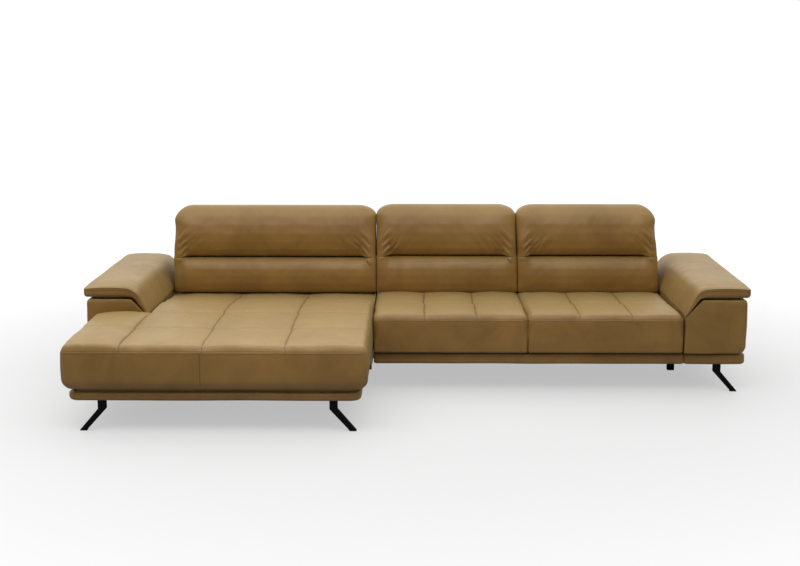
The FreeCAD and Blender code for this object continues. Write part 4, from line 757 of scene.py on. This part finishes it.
def armCap(word, side, rearRise, dimpleDepth, foldDepth, seed):
    # a slab between an upper and a lower line across the arm, mixed by its level; its top is moved outward by
    # noise + rise of the rear + waves at the bend + a bell on the flank - the drop at both ends - the dimple
    look = capLook
    samples = np.arange(look["samples"])
    upper = curveThrough(look["upper"], len(samples))
    lower = curveThrough(look["lower"], len(samples))
    lines = [
        linesBetween(0, look["length"], look["step"], look["round"]),
        linesBetween(look["front"], look["rear"], look["step"], look["corner"]),
        linesBetween(0, 1, look["levelStep"], look["levelRound"], look["stitchLevels"], (0, 0.03, 0.06)),
    ]

    def radii(points):
        outer = smooth(points[:, 0], 0.30, 0.38)
        upward = np.where(points[:, 2] > 0.5, 0.30, 0.34)
        return mix(0.006, 0.020, outer), look["corner"], upward

    def form(points, way):
        along, y, level = points.T.copy()
        share = np.clip(along/look["length"], 0, 1)*samples[-1]
        high = readAt(share, samples, upper)
        low = readAt(share, samples, lower)
        out = unit(high - low)
        x, z = mix(low, high, level[:, None]).T
        spot = np.stack([x, y, z], -1)
        ahead = y - look["front"]
        fromEnd = np.minimum(ahead, look["rear"] - y)
        flat = smooth(x, 1.44, 1.50)
        upward = smooth(way[:, 2], 0.2, 0.9)
        flank = bump(x - look["flank"], 0.032)*upward
        soft = look["relax"]*(ripple(spot, 0.2, seed) + 0.4*ripple(spot, 0.06, seed + 1))
        dimple = dimpleDepth*bump(x - look["bend"], 0.014)*bump(ahead - 0.012, 0.045)
        wave = (y - 0.4*(x - 1.4))*2*math.pi/look["foldPitch"] + 2*ripple(spot, 0.2, seed + 2)
        folds = foldDepth*bump(x - 1.44, 0.05)*np.sin(wave)*(1 - smooth(ahead, 0.05, 0.20))
        sink = look["drop"]*(1 - smooth(fromEnd, 0.0, 0.10))*mix(0.3, 1, flat)
        rise = soft + folds + rearRise*smooth(y, 0.0, 0.8)*flat - dimple - sink
        rise = rise*upward + look["fill"]*flank
        forward = smooth(-way[:, 1], 0.55, 1.0)
        outward = smooth(way[:, 0], 0.55, 1.0)
        line = sum(bump(level - place, 0.024) for place in look["stitchLevels"])
        edge = np.maximum(forward*smooth(x, 1.405, 1.43), outward)
        x = x + out[:, 0]*rise - look["stitchDepth"]*line*outward
        z = z + out[:, 1]*rise
        y = y + look["stitchDepth"]*line*forward*edge
        sewn = 0.55*np.clip(line, 0, 1)*edge
        # paler on the upward faces of the cap's outer top and its bend: wear, and painted light on them
        wearAndTopLight = upward*(0.55*smooth(x, 1.46, 1.56) + 0.3*bump(x - 1.46, 0.03))
        return np.stack([x, y, z], -1), {"seam": sewn, "wearAndTopLight": wearAndTopLight}

    piece = blockPiece(word + "ArmCap", lines, radii, form, armLeather, side < 0)
    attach(piece, "root")
    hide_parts(word + "_arm_cap")
    for number, level in enumerate(look["stitchLevels"]):
        across = np.linspace(0.105, 0.385, 160)
        back = np.linspace(look["front"] + look["stitchInset"], look["rear"] - look["stitchInset"], 300)
        for part, along, y in (("Front", across, look["front"]), ("Side", look["length"], back)):
            places = np.stack(np.broadcast_arrays(along, y, float(level)), -1)
            path, ways = surfaceLine(lines, radii, form, places, side)
            stitchRow(f"{word}Cap{part}Stitches{number}", path, ways, "root", threadLook)


for word, (side, *numbers) in capSides.items():
    armBody(word, side, 70 + side)
    armCap(word, side, *numbers, 80 + 3*side)
print("arms made")


# Plinths: padded bands that run round the foot of each unit

plinthLook = {
    "bottom": 0.146, "thick": 0.030, "lip": 0.0145, "step": 0.010, "longStep": 0.012,
    "blur": 0.004, "puff": 0.0012, "sag": 0.0008,
}
# plan line, radius of its bends, rounding of its ends, top
plinths = {
    "chaise_plinth": ([(-1.622, -0.178), (-1.622, -0.861), (-0.258, -0.861), (-0.258, -0.178)],
                      0.050, 0.004, 0.187),
    "sofa_plinth": ([(-0.2205, -0.141), (1.3800, -0.141)], 0.0, 0.002, 0.203),
    "right_arm_plinth": ([(1.3815, -0.141), (1.697, -0.141), (1.697, 0.884), (1.382, 0.884)],
                         0.030, 0.002, 0.203),
    "left_arm_plinth": ([(-1.382, 0.884), (-1.697, 0.884), (-1.697, -0.141), (-1.3815, -0.141)],
                        0.030, 0.002, 0.203),
}


def planLine(corners, radius):
    # the points of straight runs joined by quarter circles
    corners = np.array(corners)
    ways = unit(np.diff(corners, axis=0))
    turns = np.linspace(0, math.pi/2, 13)[:, None]
    points = [corners[:1]]
    for number in range(1, len(corners) - 1):
        start = corners[number] - ways[number - 1]*radius
        points.append(start + ways[number - 1]*radius*np.sin(turns) + ways[number]*radius*(1 - np.cos(turns)))
    points.append(corners[-1:])
    return np.concatenate(points)


def plinthBand(node, corners, radius, endRound, top, seed):
    # a rounded rectangle carried along the plan line, moved outward and up by soft noise
    look = plinthLook
    line = planLine(corners, radius)
    along = lengthAlong(line)
    bends = along[1:-1] if len(line) > 2 else []
    lines = [
        linesBetween(0, along[-1], look["longStep"], endRound, bends, (0,)),
        linesBetween(0, look["thick"], look["step"], look["lip"]),
        linesBetween(look["bottom"], top, look["step"], look["lip"]),
    ]

    def radii(_):
        return endRound, look["lip"], look["lip"]

    def form(points, way):
        s, depth, z = points.T.copy()
        before, after = (np.clip(s + shift, 0, along[-1]) for shift in (-look["blur"], look["blur"]))
        spot, back, front = (readAt(at, along, line) for at in (s, before, after))
        ahead = unit(front - back)
        inward = np.stack([-ahead[:, 1], ahead[:, 0]], -1)
        place = np.stack([spot[:, 0], spot[:, 1], z], -1)
        puff = look["puff"]*ripple(place, 0.16, seed)*smooth(-way[:, 1], 0.2, 0.9)
        x, y = (spot + inward*(depth - puff)[:, None]).T
        z = z + look["sag"]*ripple(place, 0.3, seed + 1)
        return np.stack([x, y, z], -1), {"seam": 0, "wearAndTopLight": 0}

    name = node.title().replace("_", "") + "Band"
    piece = blockPiece(name, lines, radii, form, plinthLeather)
    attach(piece, "root")
    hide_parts(node)


for seed, (node, numbers) in enumerate(plinths.items()):
    plinthBand(node, *numbers, 90 + 3*seed)
print("plinths made")


# Floor, light and camera

studio = {
    "floor": (0.30, 0.30, 0.30), "floorHalf": 30,
    "floorGlow": 0.48, "farGlow": 0.80, "nearEdge": 1.2, "farEdge": 5.0,
    "above": 1.72, "around": 0.10, "behind": 0.85, "fill": 18, "overhead": 38,
    "lens": 58.21, "eye": (-0.0224, -6.6462, 1.7776), "pitch": 79.50, "turn": 0.55,
}


def stageFloor():
    # pale floor; what the camera sees of it glows, more with distance, so that its shadow is as light as in a
    # white studio
    size = studio["floorHalf"]
    mesh = bpy.data.meshes.new("floor")
    corners = [(-size, -size, 0), (size, -size, 0), (size, size, 0), (-size, size, 0)]
    mesh.from_pydata(corners, [], [(0, 1, 2, 3)])
    floor = bpy.data.objects.new("floor", mesh)
    bpy.context.scene.collection.objects.link(floor)
    material, tree, shader = newMaterial("paleFloor")
    shader.inputs["Base Color"].default_value = (*studio["floor"], 1)
    shader.inputs["Roughness"].default_value = 0.7
    shader.inputs["Specular IOR Level"].default_value = 0.1
    shader.inputs["Emission Color"].default_value = (1, 1, 1, 1)
    path = addNode(tree, "ShaderNodeLightPath")
    place = addNode(tree, "ShaderNodeTexCoord")
    away = addNode(tree, "ShaderNodeVectorMath", {"operation": "LENGTH"})
    tree.links.new(place.outputs["Object"], away.inputs[0])
    lifted = addNode(tree, "ShaderNodeMapRange", {"interpolation_type": "SMOOTHSTEP"},
                     {"From Min": studio["nearEdge"], "From Max": studio["farEdge"],
                      "To Min": studio["floorGlow"], "To Max": studio["farGlow"]})
    tree.links.new(away.outputs["Value"], lifted.inputs["Value"])
    glow = addNode(tree, "ShaderNodeMath", {"operation": "MULTIPLY"})
    tree.links.new(path.outputs["Is Camera Ray"], glow.inputs[0])
    tree.links.new(lifted.outputs[0], glow.inputs[1])
    tree.links.new(glow.outputs[0], shader.inputs["Emission Strength"])
    mesh.materials.append(material)


def softWorld():
    # strength: around + above times height squared + a smooth step toward the rear; the camera sees plain white
    world = bpy.data.worlds.new("studio")
    world.use_nodes = True
    bpy.context.scene.world = world
    tree = world.node_tree
    tree.nodes.clear()
    link = tree.links.new
    out = addNode(tree, "ShaderNodeOutputWorld")
    way = addNode(tree, "ShaderNodeTexCoord")
    axes = addNode(tree, "ShaderNodeSeparateXYZ")
    link(way.outputs["Generated"], axes.inputs[0])
    high = addNode(tree, "ShaderNodeMapRange", inputs={"From Min": 0.0, "From Max": 1.0})
    link(axes.outputs["Z"], high.inputs["Value"])
    square = addNode(tree, "ShaderNodeMath", {"operation": "POWER"}, {1: 2.0})
    link(high.outputs[0], square.inputs[0])
    above = addNode(tree, "ShaderNodeMath", {"operation": "MULTIPLY_ADD"},
                    {1: studio["above"], 2: studio["around"]})
    link(square.outputs[0], above.inputs[0])
    wall = addNode(tree, "ShaderNodeMapRange", {"interpolation_type": "SMOOTHSTEP"},
                   {"From Min": -0.1, "From Max": 0.8, "To Max": studio["behind"]})
    link(axes.outputs["Y"], wall.inputs["Value"])
    total = addNode(tree, "ShaderNodeMath", {"operation": "ADD"})
    link(above.outputs[0], total.inputs[0])
    link(wall.outputs[0], total.inputs[1])
    light = addNode(tree, "ShaderNodeBackground")
    link(total.outputs[0], light.inputs["Strength"])
    white = addNode(tree, "ShaderNodeBackground", inputs={"Color": (1, 1, 1, 1)})
    path = addNode(tree, "ShaderNodeLightPath")
    seen = addNode(tree, "ShaderNodeMixShader")
    link(path.outputs["Is Camera Ray"], seen.inputs["Fac"])
    link(light.outputs[0], seen.inputs[1])
    link(white.outputs[0], seen.inputs[2])
    link(seen.outputs[0], out.inputs["Surface"])


def areaLamp(name, place, target, size, power):
    data = bpy.data.lights.new(name, "AREA")
    data.shape = "RECTANGLE"
    data.size, data.size_y = size
    data.energy = power
    lamp = bpy.data.objects.new(name, data)
    bpy.context.scene.collection.objects.link(lamp)
    lamp.location = place
    x, y, z = np.array(target) - np.array(place)
    lamp.rotation_euler = (math.atan2(math.hypot(x, y), -z), 0, math.atan2(x, -y) + math.pi)


def sceneCamera():
    data = bpy.data.cameras.new("camera")
    data.lens = studio["lens"]
    data.sensor_width = 36
    camera = bpy.data.objects.new("camera", data)
    bpy.context.scene.collection.objects.link(camera)
    camera.location = studio["eye"]
    camera.rotation_euler = (math.radians(studio["pitch"]), 0, math.radians(studio["turn"]))
    bpy.context.scene.camera = camera


stageFloor()
softWorld()
areaLamp("overhead", (-0.5, -1.7, 2.7), (-0.2, 0.1, 0.5), (4.4, 1.4), studio["overhead"])
areaLamp("frontFill", (0.4, -4.4, 3.0), (0, 0, 0.5), (4.0, 2.4), studio["fill"])
sceneCamera()
bpy.context.scene.view_settings.view_transform = "Standard"
print("stage made")
